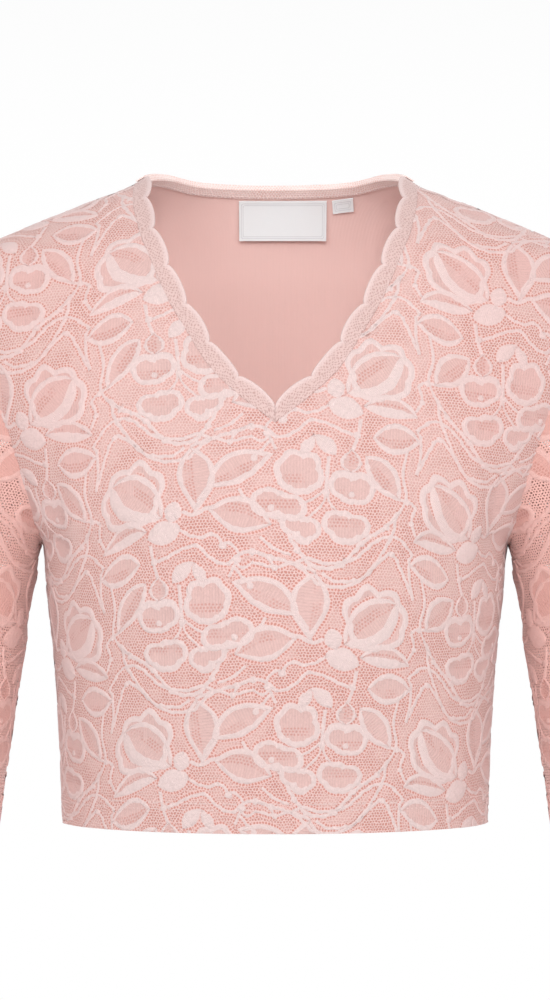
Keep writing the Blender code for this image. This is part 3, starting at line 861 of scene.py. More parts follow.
def repeat_lace(chart, low, high, origin):
    """The chart in every column and row that reach into a flat box.

    Every second column is turned over and dropped by half a repeat.
    """
    first = np.floor((low - REPEAT_REACH - origin) / (NARROW_GAP, REPEAT_HEIGHT)).astype(int)
    last = np.ceil((high + REPEAT_REACH - origin) / (NARROW_GAP, REPEAT_HEIGHT)).astype(int)
    all_points, all_faces, all_slots = [], [], []
    count = 0
    for column in range(first[0], last[0] + 1):
        turned = -1.0 if column % 2 else 1.0
        for row in range(first[1], last[1] + 1):
            drop = REPEAT_HEIGHT / 2 * (column % 2)
            across = column // 2 * (WIDE_GAP + NARROW_GAP) + column % 2 * WIDE_GAP
            place = origin + (across, row * REPEAT_HEIGHT + drop)
            points = chart[0] * (turned, 1.0, 1.0, 1.0, 1.0)
            points[:, :2] += place
            if (points[:, :2].min(0) > high).any() or (points[:, :2].max(0) < low).any():
                continue
            all_points.append(points)
            all_faces.append((chart[1] if turned > 0 else chart[1][:, ::-1]) + count)
            all_slots.append(chart[2])
            count += len(points)
    return np.vstack(all_points), np.vstack(all_faces), np.concatenate(all_slots)


# %% [markdown]
# ## Finishes
#
# Cloth is matt, so most of a finish is its thread. The jersey has fine vertical wales. The
# net has staggered holes 1.9 mm apart: over the lining they are painted a deeper pink, the
# lining's own darkened by painted shade, and on the sleeves they are open. Cord and filling
# are fine yarns side by side, which a wave along the thread's own places draws. Small changes
# of tone keep large areas alive.
#
# Over the chest the lace lies close to its lining and looks pale. Low down on the body and out
# at its sides its meshes and its yarns are painted a deeper pink: painted shade, where the form
# turns from the light.
# Every pattern reads the flat cloth's own map, so it follows the cloth wherever it goes.

# %% Node helpers
def cloth_finish(name, colour, roughness, sheen=0.25):
    """A matt cloth material: its node tree and its shader."""
    material = bpy.data.materials.new(name)
    material.use_nodes = True
    shader = material.node_tree.nodes["Principled BSDF"]
    shader.inputs["Base Color"].default_value = (*colour, 1.0)
    shader.inputs["Roughness"].default_value = roughness
    shader.inputs["Specular IOR Level"].default_value = 0.25
    shader.inputs["Sheen Weight"].default_value = sheen
    shader.inputs["Sheen Roughness"].default_value = 0.6
    return material, material.node_tree, shader


def add_node(tree, kind, inputs=None, **settings):
    """A node with its settings. inputs maps a socket to a value, or to another's output."""
    made = tree.nodes.new(kind)
    for key, value in settings.items():
        setattr(made, key, value)
    for key, value in (inputs or {}).items():
        if isinstance(value, bpy.types.NodeSocket):
            tree.links.new(value, made.inputs[key])
        else:
            made.inputs[key].default_value = value
    return made


def calculate(tree, operation, *values):
    """A Math node's output."""
    return add_node(
        tree, "ShaderNodeMath", dict(enumerate(values)), operation=operation
    ).outputs[0]


def flat_places(tree, map_name):
    """The flat cloth's own places in millimetres, as a vector."""
    places = add_node(tree, "ShaderNodeUVMap", uv_map=map_name).outputs[0]
    return add_node(
        tree, "ShaderNodeVectorMath", {0: places, "Scale": 1000.0}, operation="SCALE"
    ).outputs[0]


def blend(tree, share, first, second):
    """A colour between two, by a share from 0 to 1."""
    mixed = add_node(tree, "ShaderNodeMix", {0: share}, data_type="RGBA")
    # A Mix node's colour sockets are numbers 6, 7 and 2: its plain names are its floats'
    for socket, value in ((mixed.inputs[6], first), (mixed.inputs[7], second)):
        if isinstance(value, bpy.types.NodeSocket):
            tree.links.new(value, socket)
        else:
            socket.default_value = (*value, 1.0)
    return mixed.outputs[2]


def from_to(tree, value, low, high):
    """0 below low and 1 above high, with a soft change between. low may be the larger."""
    return add_node(
        tree,
        "ShaderNodeMapRange",
        {"Value": value, "From Min": low, "From Max": high},
        interpolation_type="SMOOTHSTEP",
    ).outputs[0]


def uneven(tree, scale, detail=2.0):
    """Slow noise over the object, 0 to 1. scale is bumps a metre."""
    places = add_node(tree, "ShaderNodeTexCoord").outputs["Object"]
    return add_node(
        tree, "ShaderNodeTexNoise", {"Vector": places, "Scale": scale, "Detail": detail}
    ).outputs[0]


# In metres: heights from the chest to where the painted shade is whole, and the same to each side
CHEST_LOW, SHADED_LOW = -0.10, -0.27
CHEST_SIDE, SHADED_SIDE = 0.07, 0.135


def painted_shade_shares(tree):
    """Two shares of painted shade, from 0 at the chest to 1: low on the body, and out at its sides.
    """
    places = add_node(tree, "ShaderNodeTexCoord").outputs["Object"]
    places = add_node(tree, "ShaderNodeSeparateXYZ", {0: places})
    down = from_to(tree, places.outputs[2], CHEST_LOW, SHADED_LOW)
    outward = calculate(tree, "ABSOLUTE", places.outputs[0])
    return down, from_to(tree, outward, CHEST_SIDE, SHADED_SIDE)


def by_painted_shade(tree, chest, aside):
    """One value at the chest and another low down and aside, where shade is painted in."""
    share = calculate(tree, "MAXIMUM", *painted_shade_shares(tree))
    return calculate(tree, "ADD", calculate(tree, "MULTIPLY", share, aside - chest), chest)


def raise_threads(tree, shader, height, distance):
    """Bumps the shader by a height from 0 to 1, distance in metres."""
    bump = add_node(
        tree, "ShaderNodeBump", {"Height": height, "Distance": distance, "Strength": 1.0}
    )
    tree.links.new(bump.outputs[0], shader.inputs["Normal"])


# %% Net, threads and jersey
NET_PITCH = 1.9
# Noise moves the net's places by up to this, so that its meshes are as uneven as knitted ones
NET_STRAY = 1.8


def net_holes(tree, thread_from, open_to):
    """1 in the holes of a net and 0 on its threads: two grids of round holes, half a step apart.

    A hole is wholly open up to open_to from its middle, and thread starts at thread_from.
    """
    places = flat_places(tree, "cloth")
    noise = add_node(tree, "ShaderNodeTexNoise", {"Vector": places, "Scale": 0.35, "Detail": 1.0})
    shift = add_node(
        tree, "ShaderNodeVectorMath", {0: noise.outputs[1], "Scale": NET_STRAY}, operation="SCALE"
    )
    places = add_node(
        tree, "ShaderNodeVectorMath", {0: places, 1: shift.outputs[0]}, operation="ADD"
    ).outputs[0]
    cell = (NET_PITCH, NET_PITCH * 3**0.5, 1.0)
    steps = add_node(
        tree, "ShaderNodeVectorMath", {0: places, 1: cell}, operation="DIVIDE"
    ).outputs[0]
    nearest = []
    for half in (0.0, 0.5):
        moved = add_node(
            tree, "ShaderNodeVectorMath", {0: steps, 1: (half, half, 0.0)}, operation="ADD"
        ).outputs[0]
        inside = add_node(tree, "ShaderNodeVectorMath", {0: moved}, operation="FRACTION").outputs[0]
        centred = add_node(
            tree, "ShaderNodeVectorMath", {0: inside, 1: (-0.5, -0.5, 0.0)}, operation="ADD"
        ).outputs[0]
        true_size = {0: centred, 1: (cell[0], cell[1], 0.0)}
        level = add_node(
            tree, "ShaderNodeVectorMath", true_size, operation="MULTIPLY"
        ).outputs[0]
        nearest.append(
            add_node(tree, "ShaderNodeVectorMath", {0: level}, operation="LENGTH").outputs["Value"]
        )
    return from_to(tree, calculate(tree, "MINIMUM", *nearest), thread_from, open_to)


NET_THREAD = (0.69, 0.465, 0.435)
# Holes show the lining, painted far darker than it: the lining's pink with painted shade in the
# holes
NET_HOLE_SHADED = (0.49, 0.21, 0.175)
CORD_COLOUR = (0.76, 0.59, 0.57)
FILLING_COLOUR = (0.68, 0.445, 0.415)
JERSEY_COLOUR = (0.92, 0.635, 0.59)
# Bumps a metre of the slow changes of tone: along the net, and along yarns
NET_TONES, YARN_TONES = 60.0, 220.0
# Two rows of small holes in a filling: from hole to hole, and from row to row
SMALL_HOLES, SMALL_HOLE_ROWS = 2.1, 1.9
# From one wale of the jersey to the next beside it, and from one course to the next above
WALES, COURSES = 0.9, 0.7


def net_finish(name, thread_colour, hole_colour, relief):
    """Net on a lining: pale threads, and holes painted in the lining's pink with painted shade.

    The holes are deeper at random, and more so low down and at the sides, which is painted shade
    too.
    """
    net, tree, shader = cloth_finish(name, thread_colour, 0.85)
    holes = net_holes(tree, thread_from=0.78, open_to=0.5)
    deeper = [c * 0.94 for c in thread_colour]
    thread = blend(tree, uneven(tree, NET_TONES), thread_colour, deeper)
    strength = calculate(tree, "MULTIPLY", from_to(tree, uneven(tree, 34.0), 0.35, 0.62), 0.6)
    depth = calculate(tree, "MULTIPLY", holes, calculate(tree, "ADD", strength, 0.4))
    # Painted shade: the holes are deeper still low down and at the sides
    depth = calculate(tree, "MULTIPLY", depth, by_painted_shade(tree, 0.85, 1.2))
    tree.links.new(blend(tree, depth, thread, hole_colour), shader.inputs["Base Color"])
    raise_threads(tree, shader, calculate(tree, "SUBTRACT", 1.0, holes), relief)
    return net


def from_middle(tree, x, y):
    """Distance from a hole's middle: the root of x squared and y squared."""
    squares = [calculate(tree, "MULTIPLY", value, value) for value in (x, y)]
    return calculate(tree, "SQRT", calculate(tree, "ADD", *squares))


def thread_finish(name, colour, across_pitch, depth, hole_row):
    """Yarns side by side: fine ribs across the thread, and two rows of small holes if asked.

    across_pitch is from rib to rib in millimetres, and depth how far the ribs darken.
    """
    material, tree, shader = cloth_finish(name, colour, 0.8)
    places = add_node(tree, "ShaderNodeSeparateXYZ", {0: flat_places(tree, "thread")})
    along, across = places.outputs[0], places.outputs[1]
    ribs = calculate(tree, "SINE", calculate(tree, "MULTIPLY", along, 2 * np.pi / across_pitch))
    ribs = from_to(tree, ribs, -1.0, 1.0)
    grain = from_to(tree, uneven(tree, 900.0, 3.0), 0.35, 0.65)
    tone = blend(tree, uneven(tree, YARN_TONES, 3.0), colour, [c * 0.9 for c in colour])
    tone = blend(tree, calculate(tree, "MULTIPLY", ribs, depth), tone, [c * 0.72 for c in colour])
    tone = blend(tree, calculate(tree, "MULTIPLY", grain, 0.35), tone, [c * 0.8 for c in colour])
    # Painted shade: yarns out at the sides are painted a deeper pink
    side_shade = calculate(tree, "MULTIPLY", painted_shade_shares(tree)[1], 0.5)
    tone = blend(tree, side_shade, tone, [c * share for c, share in zip(colour, (0.93, 0.8, 0.79))])
    if hole_row:
        # The second row lies past the first and half a step on
        second = calculate(tree, "GREATER_THAN", calculate(tree, "ABSOLUTE", across), 1.0)
        half_step = calculate(tree, "MULTIPLY", second, 0.5)
        turn = calculate(tree, "ADD", calculate(tree, "DIVIDE", along, SMALL_HOLES), half_step)
        x = calculate(tree, "SUBTRACT", calculate(tree, "FRACT", turn), 0.5)
        x = calculate(tree, "MULTIPLY", x, SMALL_HOLES)
        y = calculate(tree, "MULTIPLY", second, SMALL_HOLE_ROWS)
        y = calculate(tree, "SUBTRACT", calculate(tree, "ABSOLUTE", across), y)
        hole = from_to(tree, from_middle(tree, x, y), 0.9, 0.45)
        in_places = from_to(tree, uneven(tree, NET_TONES), 0.36, 0.56)
        hole = calculate(tree, "MULTIPLY", hole, in_places)
        # The small holes are painted dark: painted shade in the holes
        tone = blend(tree, calculate(tree, "MULTIPLY", hole, 0.7), tone, NET_HOLE_SHADED)
    tree.links.new(tone, shader.inputs["Base Color"])
    relief = calculate(tree, "ADD", calculate(tree, "SUBTRACT", 1.0, ribs), grain)
    raise_threads(tree, shader, calculate(tree, "MULTIPLY", relief, 0.5), 0.00035)
    return material


def rim_finish():
    """Open meshes: net thread with one row of holes, painted a deep pink with shade.

    The painted shade is deepest low on the body and at its sides.
    """
    material, tree, shader = cloth_finish("open_meshes", NET_THREAD, 0.85)
    places = add_node(tree, "ShaderNodeSeparateXYZ", {0: flat_places(tree, "thread")})
    turn = calculate(tree, "FRACT", calculate(tree, "DIVIDE", places.outputs[0], NET_PITCH))
    x = calculate(tree, "MULTIPLY", calculate(tree, "SUBTRACT", turn, 0.5), NET_PITCH)
    y = calculate(tree, "SUBTRACT", places.outputs[1], 0.5)
    hole = from_to(tree, from_middle(tree, x, y), 0.86, 0.5)
    share = calculate(tree, "MULTIPLY", hole, by_painted_shade(tree, 0.55, 1.0))
    tone = blend(tree, uneven(tree, NET_TONES), NET_THREAD, [c * 0.94 for c in NET_THREAD])
    tree.links.new(blend(tree, share, tone, NET_HOLE_SHADED), shader.inputs["Base Color"])
    return material


def jersey_finish():
    """Lining jersey: fine vertical wales and slow changes of tone."""
    jersey, tree, shader = cloth_finish("pink_jersey_lining", JERSEY_COLOUR, 0.85, 0.3)
    places = add_node(tree, "ShaderNodeSeparateXYZ", {0: flat_places(tree, "cloth")})
    turn = calculate(tree, "MULTIPLY", places.outputs[0], 2 * np.pi / WALES)
    wales = calculate(tree, "SINE", turn)
    turn = calculate(tree, "MULTIPLY", places.outputs[1], 2 * np.pi / COURSES)
    courses = calculate(tree, "MULTIPLY", calculate(tree, "SINE", turn), 0.5)
    knit = from_to(tree, calculate(tree, "ADD", wales, courses), -1.5, 1.5)
    tone = blend(tree, uneven(tree, 14.0), JERSEY_COLOUR, [c * 0.95 for c in JERSEY_COLOUR])
    knitted = calculate(tree, "MULTIPLY", knit, 0.35)
    tone = blend(tree, knitted, tone, [c * 0.9 for c in JERSEY_COLOUR])
    tree.links.new(tone, shader.inputs["Base Color"])
    raise_threads(tree, shader, knit, 0.0001)
    return jersey


net_over_lining = net_finish("net_over_lining", NET_THREAD, NET_HOLE_SHADED, 0.00025)
cord_thread = thread_finish("raised_cord", CORD_COLOUR, 0.9, 0.22, False)
filling_thread = thread_finish("smooth_filling", FILLING_COLOUR, 1.7, 0.32, True)
open_meshes = rim_finish()
pink_jersey = jersey_finish()
print("finishes:", len(bpy.data.materials))

# %% [markdown]
# ## Lining, net and flowers of the body
#
# The lining and the net are thin walls at their own levels above the same sheet. The
# flowers are then laid over the net: each place of the chart is found on the panel's
# lattice and lifted along the surface's normal. Threads that would run past a seam are
# brought back to it, and those wholly beyond it are cut away, as shears would. Worn cloth
# gives way at the sides, so the flowers hang a little lower there.

# %% Levels of the layers, from the lining's inner face
LINING_LEVELS = (0.0, 1.0)
NET_LEVELS = (1.3, 1.6)
FLOWER_BED = 1.5
FLOWER_TOP = 2.25
# Where the photograph's left tulip repeat has its middle, on the flat front
FRONT_ORIGIN = np.array([-65.0, 154.5])
BACK_ORIGIN = np.array([-10.0, 190.0])
# The lace hangs lower at the sides: how far, from where, and over what width
SIDE_DROP, DROP_FROM, DROP_OVER = 10.0, 78.0, 40.0


def body_wall(name, side, levels, material):
    """A whole panel as a wall between two levels, with its flat places as a map."""
    half, flat = halves[side], panels_flat[side]
    rows, columns = half.shape[:2]
    right = np.arange(rows * columns).reshape(rows, columns)
    left = right + rows * columns
    # The two halves share their points on the centre line, up to the neck
    left[: centre_rows(side) + 1, 0] = right[: centre_rows(side) + 1, 0]
    theta = np.concatenate([half[..., 0].ravel(), -half[..., 0].ravel()])
    height = np.tile(half[..., 1].ravel(), 2)
    points, normals = body_point(theta, height, side), body_normal(theta, height, side)
    quads = np.vstack([grid_quads(right), grid_quads(left)[:, ::-1]])
    if side == BACK:
        quads = quads[:, ::-1]
    inner, outer = points + normals * levels[0], points + normals * levels[1]
    places = np.vstack([flat.reshape(-1, 2), flat.reshape(-1, 2) * (-1.0, 1.0)])
    wall, faces = closed_wall(inner, outer, quads)
    return make_piece(name, wall, [faces], [material], [("cloth", np.vstack([places, places]))])


def cut_to_cloth(faces, slots, at, size, same_side):
    """Brings lattice places back inside the cloth, and keeps the faces that touch it.

    same_side is the hand of each point. A face that crosses from one hand to the other is
    kept only when all of it lies on the cloth.
    """
    held = np.clip(at, 0.0, size)
    inside = (np.abs(held - at) < 1e-3).all(1)
    on_one_side = (same_side[faces] == same_side[faces[:, :1]]).all(1)
    keep = inside[faces].any(1) & (on_one_side | inside[faces].all(1))
    return held, faces[keep], slots[keep]


def lay_on_body(name, side, origin, materials):
    """The lace's flowers over a whole panel."""
    flat = panels_flat[side]
    reach = np.array([flat[..., 0].max(), flat[..., 1].max()])
    top = reach + (0.0, SIDE_DROP)
    points, faces, slots = repeat_lace(body_chart, np.array([-reach[0], 0.0]), top, origin)
    points[:, 1] -= SIDE_DROP * smooth((np.abs(points[:, 0]) - DROP_FROM) / DROP_OVER)
    hand = np.where(points[:, 0] < 0, -1.0, 1.0)
    at = locate(flat, np.column_stack([np.abs(points[:, 0]), points[:, 1]]))
    size = np.array(flat.shape[:2]) - 1.0
    at, faces, slots = cut_to_cloth(faces, slots, at, size, hand)
    theta, height = read_lattice(halves[side], at)[0].T
    # Seen from outside, the cloth's right is +X in front and -X behind
    theta = theta * hand * -side
    level = FLOWER_BED + (FLOWER_TOP - FLOWER_BED) * points[:, 2:3]
    placed = body_point(theta, height, side) + body_normal(theta, height, side) * level
    return make_piece(name, placed, [faces], materials, [("thread", points[:, 3:])], slots)


# %% Make the body
lace_threads = [cord_thread, filling_thread, open_meshes]
body = {}
for side, place, origin in ((FRONT, "front", FRONT_ORIGIN), (BACK, "back", BACK_ORIGIN)):
    lining = body_wall(f"{place}_lining_cloth", side, LINING_LEVELS, pink_jersey)
    net = body_wall(f"{place}_net", side, NET_LEVELS, net_over_lining)
    flowers = lay_on_body(f"{place}_flowers", side, origin, lace_threads)
    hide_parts(f"{place}_lining")
    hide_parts(f"{place}_lace")
    body[place] = (lining, net, flowers)

# %% [markdown]
# ## The sleeves
#
# A set-in sleeve starts level with the lace round the armhole and rises over it towards the
# underarm. Its cap is drawn by cubic Bezier curves from the armhole to a ring at the top of
# the arm, and below it is a tube that tapers and bends a little forward. Two tubes could
# also be joined by a Boolean, but its cut would break the pattern: one lattice from the
# armhole to the cuff lets the lace run over the cap unbroken. The lace has no lining here,
# so the holes of its net are open. A few soft folds run round the elbow and down from the
# armpit, as in any sleeve that hangs.

# %% Sizes of the sleeve
ARM_TILT = np.radians(7.0)
ARM_TOP = np.array([192.0, 0.0, -240.0])
# Columns: distance down the arm, half width, half depth
ARM_RINGS = np.array([(0.0, 43.4, 46.5), (110.0, 41.0, 44.0), (200.0, 40.0, 42.0)])
ARM_BEND = 0.00045
ARM_LENGTH = 200.0
SHOULDER_RUN = np.array([0.91, 0.0, -0.41])
UNDERARM_RUN = np.array([0.25, 0.0, -0.97])
SEAM_DENT = 0.4
LEAVING_PULL = 0.24
ARRIVING_PULL = 0.36
SLEEVE_START_LEVEL = 1.3
SLEEVE_RISE = 2.5
RISE_FROM = np.radians(60.0)
RISE_TO = np.radians(160.0)
SLEEVE_SET_IN = 0.6
SEWN_LEVEL = 1.0
SEWN_SET_IN = -0.5
AROUND_HALF = 48
CAP_CURVE_ROWS = 24
ARM_CURVE_ROWS = 44
# Folds: distance below the top of the arm, degrees round it (0 outside, 90 front, 180 inside,
# -90 behind), how long it runs round in degrees, how wide in millimetres, how deep, its slant
SLEEVE_FOLDS = [
    (-6.0, 150.0, 75.0, 11.0, 1.3, 0.20),
    (18.0, 165.0, 60.0, 9.0, -1.0, 0.30),
    (96.0, 60.0, 80.0, 12.0, -1.1, 0.12),
    (112.0, 95.0, 60.0, 9.0, 1.2, -0.10),
    (124.0, 130.0, 70.0, 12.0, -1.2, 0.15),
    (104.0, -110.0, 75.0, 12.0, -1.2, -0.12),
    (40.0, -150.0, 60.0, 10.0, 1.0, -0.25),
]
# Rows over which the folds fade out towards the cuff and towards the armhole seam
CUFF_FADE, SEAM_FADE = 8.0, 14.0
# A rough guess of the flat sleeve to start from: from row to row, and the arm's radius
ROW_STEP, ARM_RADIUS = 4.5, 43.0


# %% The surface of the sleeve
def sleeve_start(alpha, side, sewn=False):
    """Where the sleeve starts round the armhole: level with the lace, or sewn down on it."""
    theta, height = armhole(alpha, side)
    normal = body_normal(theta, height, side)
    ahead = body_point(*armhole(alpha + 0.01, side), side)
    behind = body_point(*armhole(alpha - 0.01, side), side)
    into = unit(np.cross(normal, ahead - behind) * -side)
    rise = smooth((alpha - RISE_FROM) / (RISE_TO - RISE_FROM))
    level = SEWN_LEVEL if sewn else SLEEVE_START_LEVEL + SLEEVE_RISE * rise[:, None]
    start = body_point(theta, height, side) + normal * level
    start = start + into * (SEWN_SET_IN if sewn else SLEEVE_SET_IN)
    start[:, 1] -= side * SEAM_GAP / 2
    return start


def arm_ring(distance, alpha, side):
    """Ring round the arm: centre + across a cos alpha + forward b sin alpha."""
    half_width, half_depth = table_curve(ARM_RINGS, distance)
    down = np.array([np.sin(ARM_TILT), 0.0, -np.cos(ARM_TILT)])
    across = np.array([np.cos(ARM_TILT), 0.0, np.sin(ARM_TILT)])
    centre = ARM_TOP + down * distance - np.array([0.0, ARM_BEND * distance**2, 0.0])
    ring = centre + across * (half_width * np.cos(alpha))[:, None]
    ring[:, 1] += side * half_depth * np.sin(alpha)
    return ring


def sleeve_rows(alpha, side):
    """Rows of the sleeve from the armhole to the cuff: Bezier curves, then rings."""
    start = sleeve_start(alpha, side)
    end = arm_ring(0.0, alpha, side)
    reach = np.linalg.norm(end - start, axis=1)[:, None]
    low = ((1 - np.cos(alpha)) / 2)[:, None]
    leaving = SHOULDER_RUN * (1 - low) + UNDERARM_RUN * low
    leaving[:, 1] -= side * SEAM_DENT * np.sin(alpha)
    arriving = np.array([np.sin(ARM_TILT), 0.0, -np.cos(ARM_TILT)])
    first = start + unit(leaving) * reach * LEAVING_PULL
    second = end - arriving * reach * ARRIVING_PULL
    rows = [sleeve_start(alpha, side, sewn=True)]
    for t in np.linspace(0.0, 1.0, CAP_CURVE_ROWS, endpoint=False):
        near = start * (1 - t) ** 3 + first * 3 * t * (1 - t) ** 2
        rows.append(near + second * 3 * t**2 * (1 - t) + end * t**3)
    for distance in np.linspace(0.0, ARM_LENGTH, ARM_CURVE_ROWS + 1):
        rows.append(arm_ring(distance, alpha, side))
    return np.array(rows)


def sleeve_lattice():
    """Points of the left sleeve's inner face, open along the underarm, and its normals.

    Its rows run up from the cuff. Seen from outside, its columns run from left to right:
    from the underarm over the front to the top of the arm and down the back.
    """
    alpha = np.linspace(0.0, np.pi, AROUND_HALF + 1)
    front, back = sleeve_rows(alpha, FRONT)[:, ::-1], sleeve_rows(alpha, BACK)
    lattice = np.concatenate([front, back[:, 1:]], axis=1)[::-1]
    wide = np.concatenate([lattice[:, -2:-1], lattice, lattice[:, 1:2]], axis=1)
    around = wide[:, 2:] - wide[:, :-2]
    normals = unit(np.cross(around, np.gradient(lattice, axis=0)))
    down = ARM_LENGTH - lengths_along(lattice[:, AROUND_HALF])
    degrees = np.concatenate([np.degrees(alpha[::-1]), -np.degrees(alpha[1:])])
    folds = np.zeros(lattice.shape[:2])
    for distance, middle, run, width, depth, slant in SLEEVE_FOLDS:
        off = (degrees - middle + 180) % 360 - 180
        line = down[:, None] - distance - slant * off
        folds += depth * np.exp(-((line / width) ** 2)) * smooth(1 - np.abs(off) / run)
    row = np.arange(len(lattice))
    fade = smooth(row / CUFF_FADE) * smooth((len(row) - 1 - row) / SEAM_FADE)
    return lattice + normals * (folds * fade[:, None])[..., None], normals


sleeve_points, sleeve_normals = sleeve_lattice()
outward = sleeve_points - sleeve_points.mean(axis=1, keepdims=True)
print("sleeve normals point out:", bool((outward * sleeve_normals).sum() > 0))
run_up = np.arange(sleeve_points.shape[0]) * ROW_STEP
run_round = np.linspace(-1.0, 1.0, sleeve_points.shape[1]) * np.pi * ARM_RADIUS
guess = np.stack(np.meshgrid(run_up, run_round, indexing="ij")[::-1], -1)
sleeve_flat = lay_flat(sleeve_points, guess)
# Turn the flat sleeve so that the top of the arm is straight up, with its cuff at 0
middle_line = sleeve_flat[: ARM_CURVE_ROWS + 1, AROUND_HALF]
lean = np.arctan2(*(middle_line[-1] - middle_line[0]))
turn = np.array([[np.cos(lean), -np.sin(lean)], [np.sin(lean), np.cos(lean)]])
sleeve_flat = (sleeve_flat - middle_line[0]) @ turn.T

# %% Finishes of the sleeve
# The sleeves are the body's lace, painted a deeper, more saturated pink: painted shade beside the
# body, and the pink light it throws onto them
SLEEVE_THREAD_SHADED = (0.70, 0.40, 0.355)
SLEEVE_CORD_SHADED = (0.79, 0.50, 0.455)
SLEEVE_FILLING_SHADED = (0.69, 0.39, 0.345)


def open_net_finish():
    """Sleeve net: thread in a pink darkened by painted shade, with open holes, which its alpha
    leaves out.
    """
    net, tree, shader = cloth_finish("open_net_shaded", SLEEVE_THREAD_SHADED, 0.85)
    holes = net_holes(tree, thread_from=0.62, open_to=0.32)
    deeper = [c * 0.93 for c in SLEEVE_THREAD_SHADED]
    tone = blend(tree, uneven(tree, NET_TONES), SLEEVE_THREAD_SHADED, deeper)
    tree.links.new(tone, shader.inputs["Base Color"])
    tree.links.new(calculate(tree, "SUBTRACT", 1.0, holes), shader.inputs["Alpha"])
    return net


open_net_shaded = open_net_finish()
sleeve_cord_shaded = thread_finish("sleeve_cord_shaded", SLEEVE_CORD_SHADED, 0.9, 0.22, False)
sleeve_filling_shaded = thread_finish("sleeve_filling_shaded", SLEEVE_FILLING_SHADED, 1.7, 0.32, True)

# %% Make the sleeves
SLEEVE_NET_LEVELS = (0.2, 0.5)
SLEEVE_FLOWER_BED = 0.45
SLEEVE_FLOWER_TOP = 1.25
SLEEVE_ORIGIN = np.array([-30.0, 60.0])


def sleeve_net(name, mirror):
    """The sleeve's net as a thin wall, open at the armhole and the cuff."""
    index = np.arange(sleeve_points[..., 0].size).reshape(sleeve_points.shape[:2])
    quads = grid_quads(index) if mirror > 0 else grid_quads(index)[:, ::-1]
    flip = np.array([mirror, 1.0, 1.0])
    inner, outer = (
        ((sleeve_points + sleeve_normals * level) * flip).reshape(-1, 3)
        for level in SLEEVE_NET_LEVELS
    )
    wall, faces = closed_wall(inner, outer, quads)
    places = sleeve_flat.reshape(-1, 2)
    return make_piece(name, wall, [faces], [open_net_shaded], [("cloth", np.vstack([places, places]))])


def sleeve_flowers(name, mirror):
    """The lace's flowers over a sleeve, without the rows of meshes, as its net is open."""
    low, high = sleeve_flat.min((0, 1)), sleeve_flat.max((0, 1))
    points, faces, slots = repeat_lace(sleeve_chart, low, high, SLEEVE_ORIGIN)
    at = locate(sleeve_flat, points[:, :2])
    size = np.array(sleeve_flat.shape[:2]) - 1.0
    at, faces, slots = cut_to_cloth(faces, slots, at, size, np.ones(len(points)))
    level = SLEEVE_FLOWER_BED + (SLEEVE_FLOWER_TOP - SLEEVE_FLOWER_BED) * points[:, 2:3]
    placed = read_lattice(sleeve_points, at)[0] + unit(read_lattice(sleeve_normals, at)[0]) * level
    faces = faces if mirror > 0 else faces[:, ::-1]
    flip = np.array([mirror, 1.0, 1.0])
    threads = [sleeve_cord_shaded, sleeve_filling_shaded]
    return make_piece(name, placed * flip, [faces], threads, [("thread", points[:, 3:])], slots)


for hand, mirror in (("left", 1.0), ("right", -1.0)):
    net = sleeve_net(f"sleeve_{hand}_net", mirror)
    flowers = sleeve_flowers(f"sleeve_{hand}_flowers", mirror)
    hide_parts(f"sleeve_{hand}_cap", f"sleeve_{hand}_arm")

# %% [markdown]
# ## Edging, binding and labels
#
# The V is trimmed with a narrow lace of its own: a close ground with small loops, and a
# corded rim on every scallop. The back neck is bound with a folded strip of the body's
# lace, and a woven label and a small tab hang from it inside. A strip could be made flat
# and bent with a modifier, but a neckline bends in every direction at once, and the trims
# have to lie on the body's own surface. So each is a strip of places beside the neckline.
# A place is first stepped off from the edge of the neckline and then moved to the nearest
# point of the body, by Newton's method in the surface's angle and height.

# %% Places beside the neckline
NECK_STEPS = 240
# Shares of the neckline's length: where it starts to turn into the seam's plane, over how much
SEAM_TURN_FROM, SEAM_TURN_OVER = 0.9, 0.1


def nearest_on_body(goals, side, passes=8):
    """Angle and height of the nearest point of the body's surface to each goal."""
    height = goals[:, 2].copy()
    theta = np.arcsin(np.clip(goals[:, 0] / ring_size(height, side)[0], -1.0, 1.0))
    for _ in range(passes):
        place = body_point(theta, height, side)
        by_angle = (body_point(theta + 0.002, height, side) - place) / 0.002
        by_height = (body_point(theta, height + 0.1, side) - place) / 0.1
        gap = goals - place
        aa, bb = (by_angle**2).sum(1), (by_height**2).sum(1)
        ab = (by_angle * by_height).sum(1)
        ga, gb = (gap * by_angle).sum(1), (gap * by_height).sum(1)
        turn = np.maximum(aa * bb - ab * ab, 1e-6)
        theta = theta + np.clip((ga * bb - gb * ab) / turn, -0.1, 0.1)
        height = height + np.clip((gb * aa - ga * ab) / turn, -4.0, 4.0)
    return theta, height


def neck_frame(side):
    """The neckline in fine steps: distance along it, points, run, direction into the opening."""
    fractions = np.linspace(0.0, 1.0, NECK_STEPS + 1)
    theta, height = neckline(fractions, side)
    edge = body_point(theta, height, side)
    run = unit(np.gradient(edge, axis=0))
    if side == BACK:
        run[0] = (1.0, 0.0, 0.0)
    into = unit(np.cross(body_normal(theta, height, side), run) * -side)
    # At the shoulder seam the cut lies in the plane of the seam
    seam = body_point(np.full(2, np.pi / 2), height[-1] - np.array([0.0, 2.0]), side)
    share = smooth((fractions - SEAM_TURN_FROM) / SEAM_TURN_OVER)[:, None]
    into = unit(into * (1 - share) + unit(seam[0] - seam[1]) * share)
    return lengths_along(edge), edge, run, into


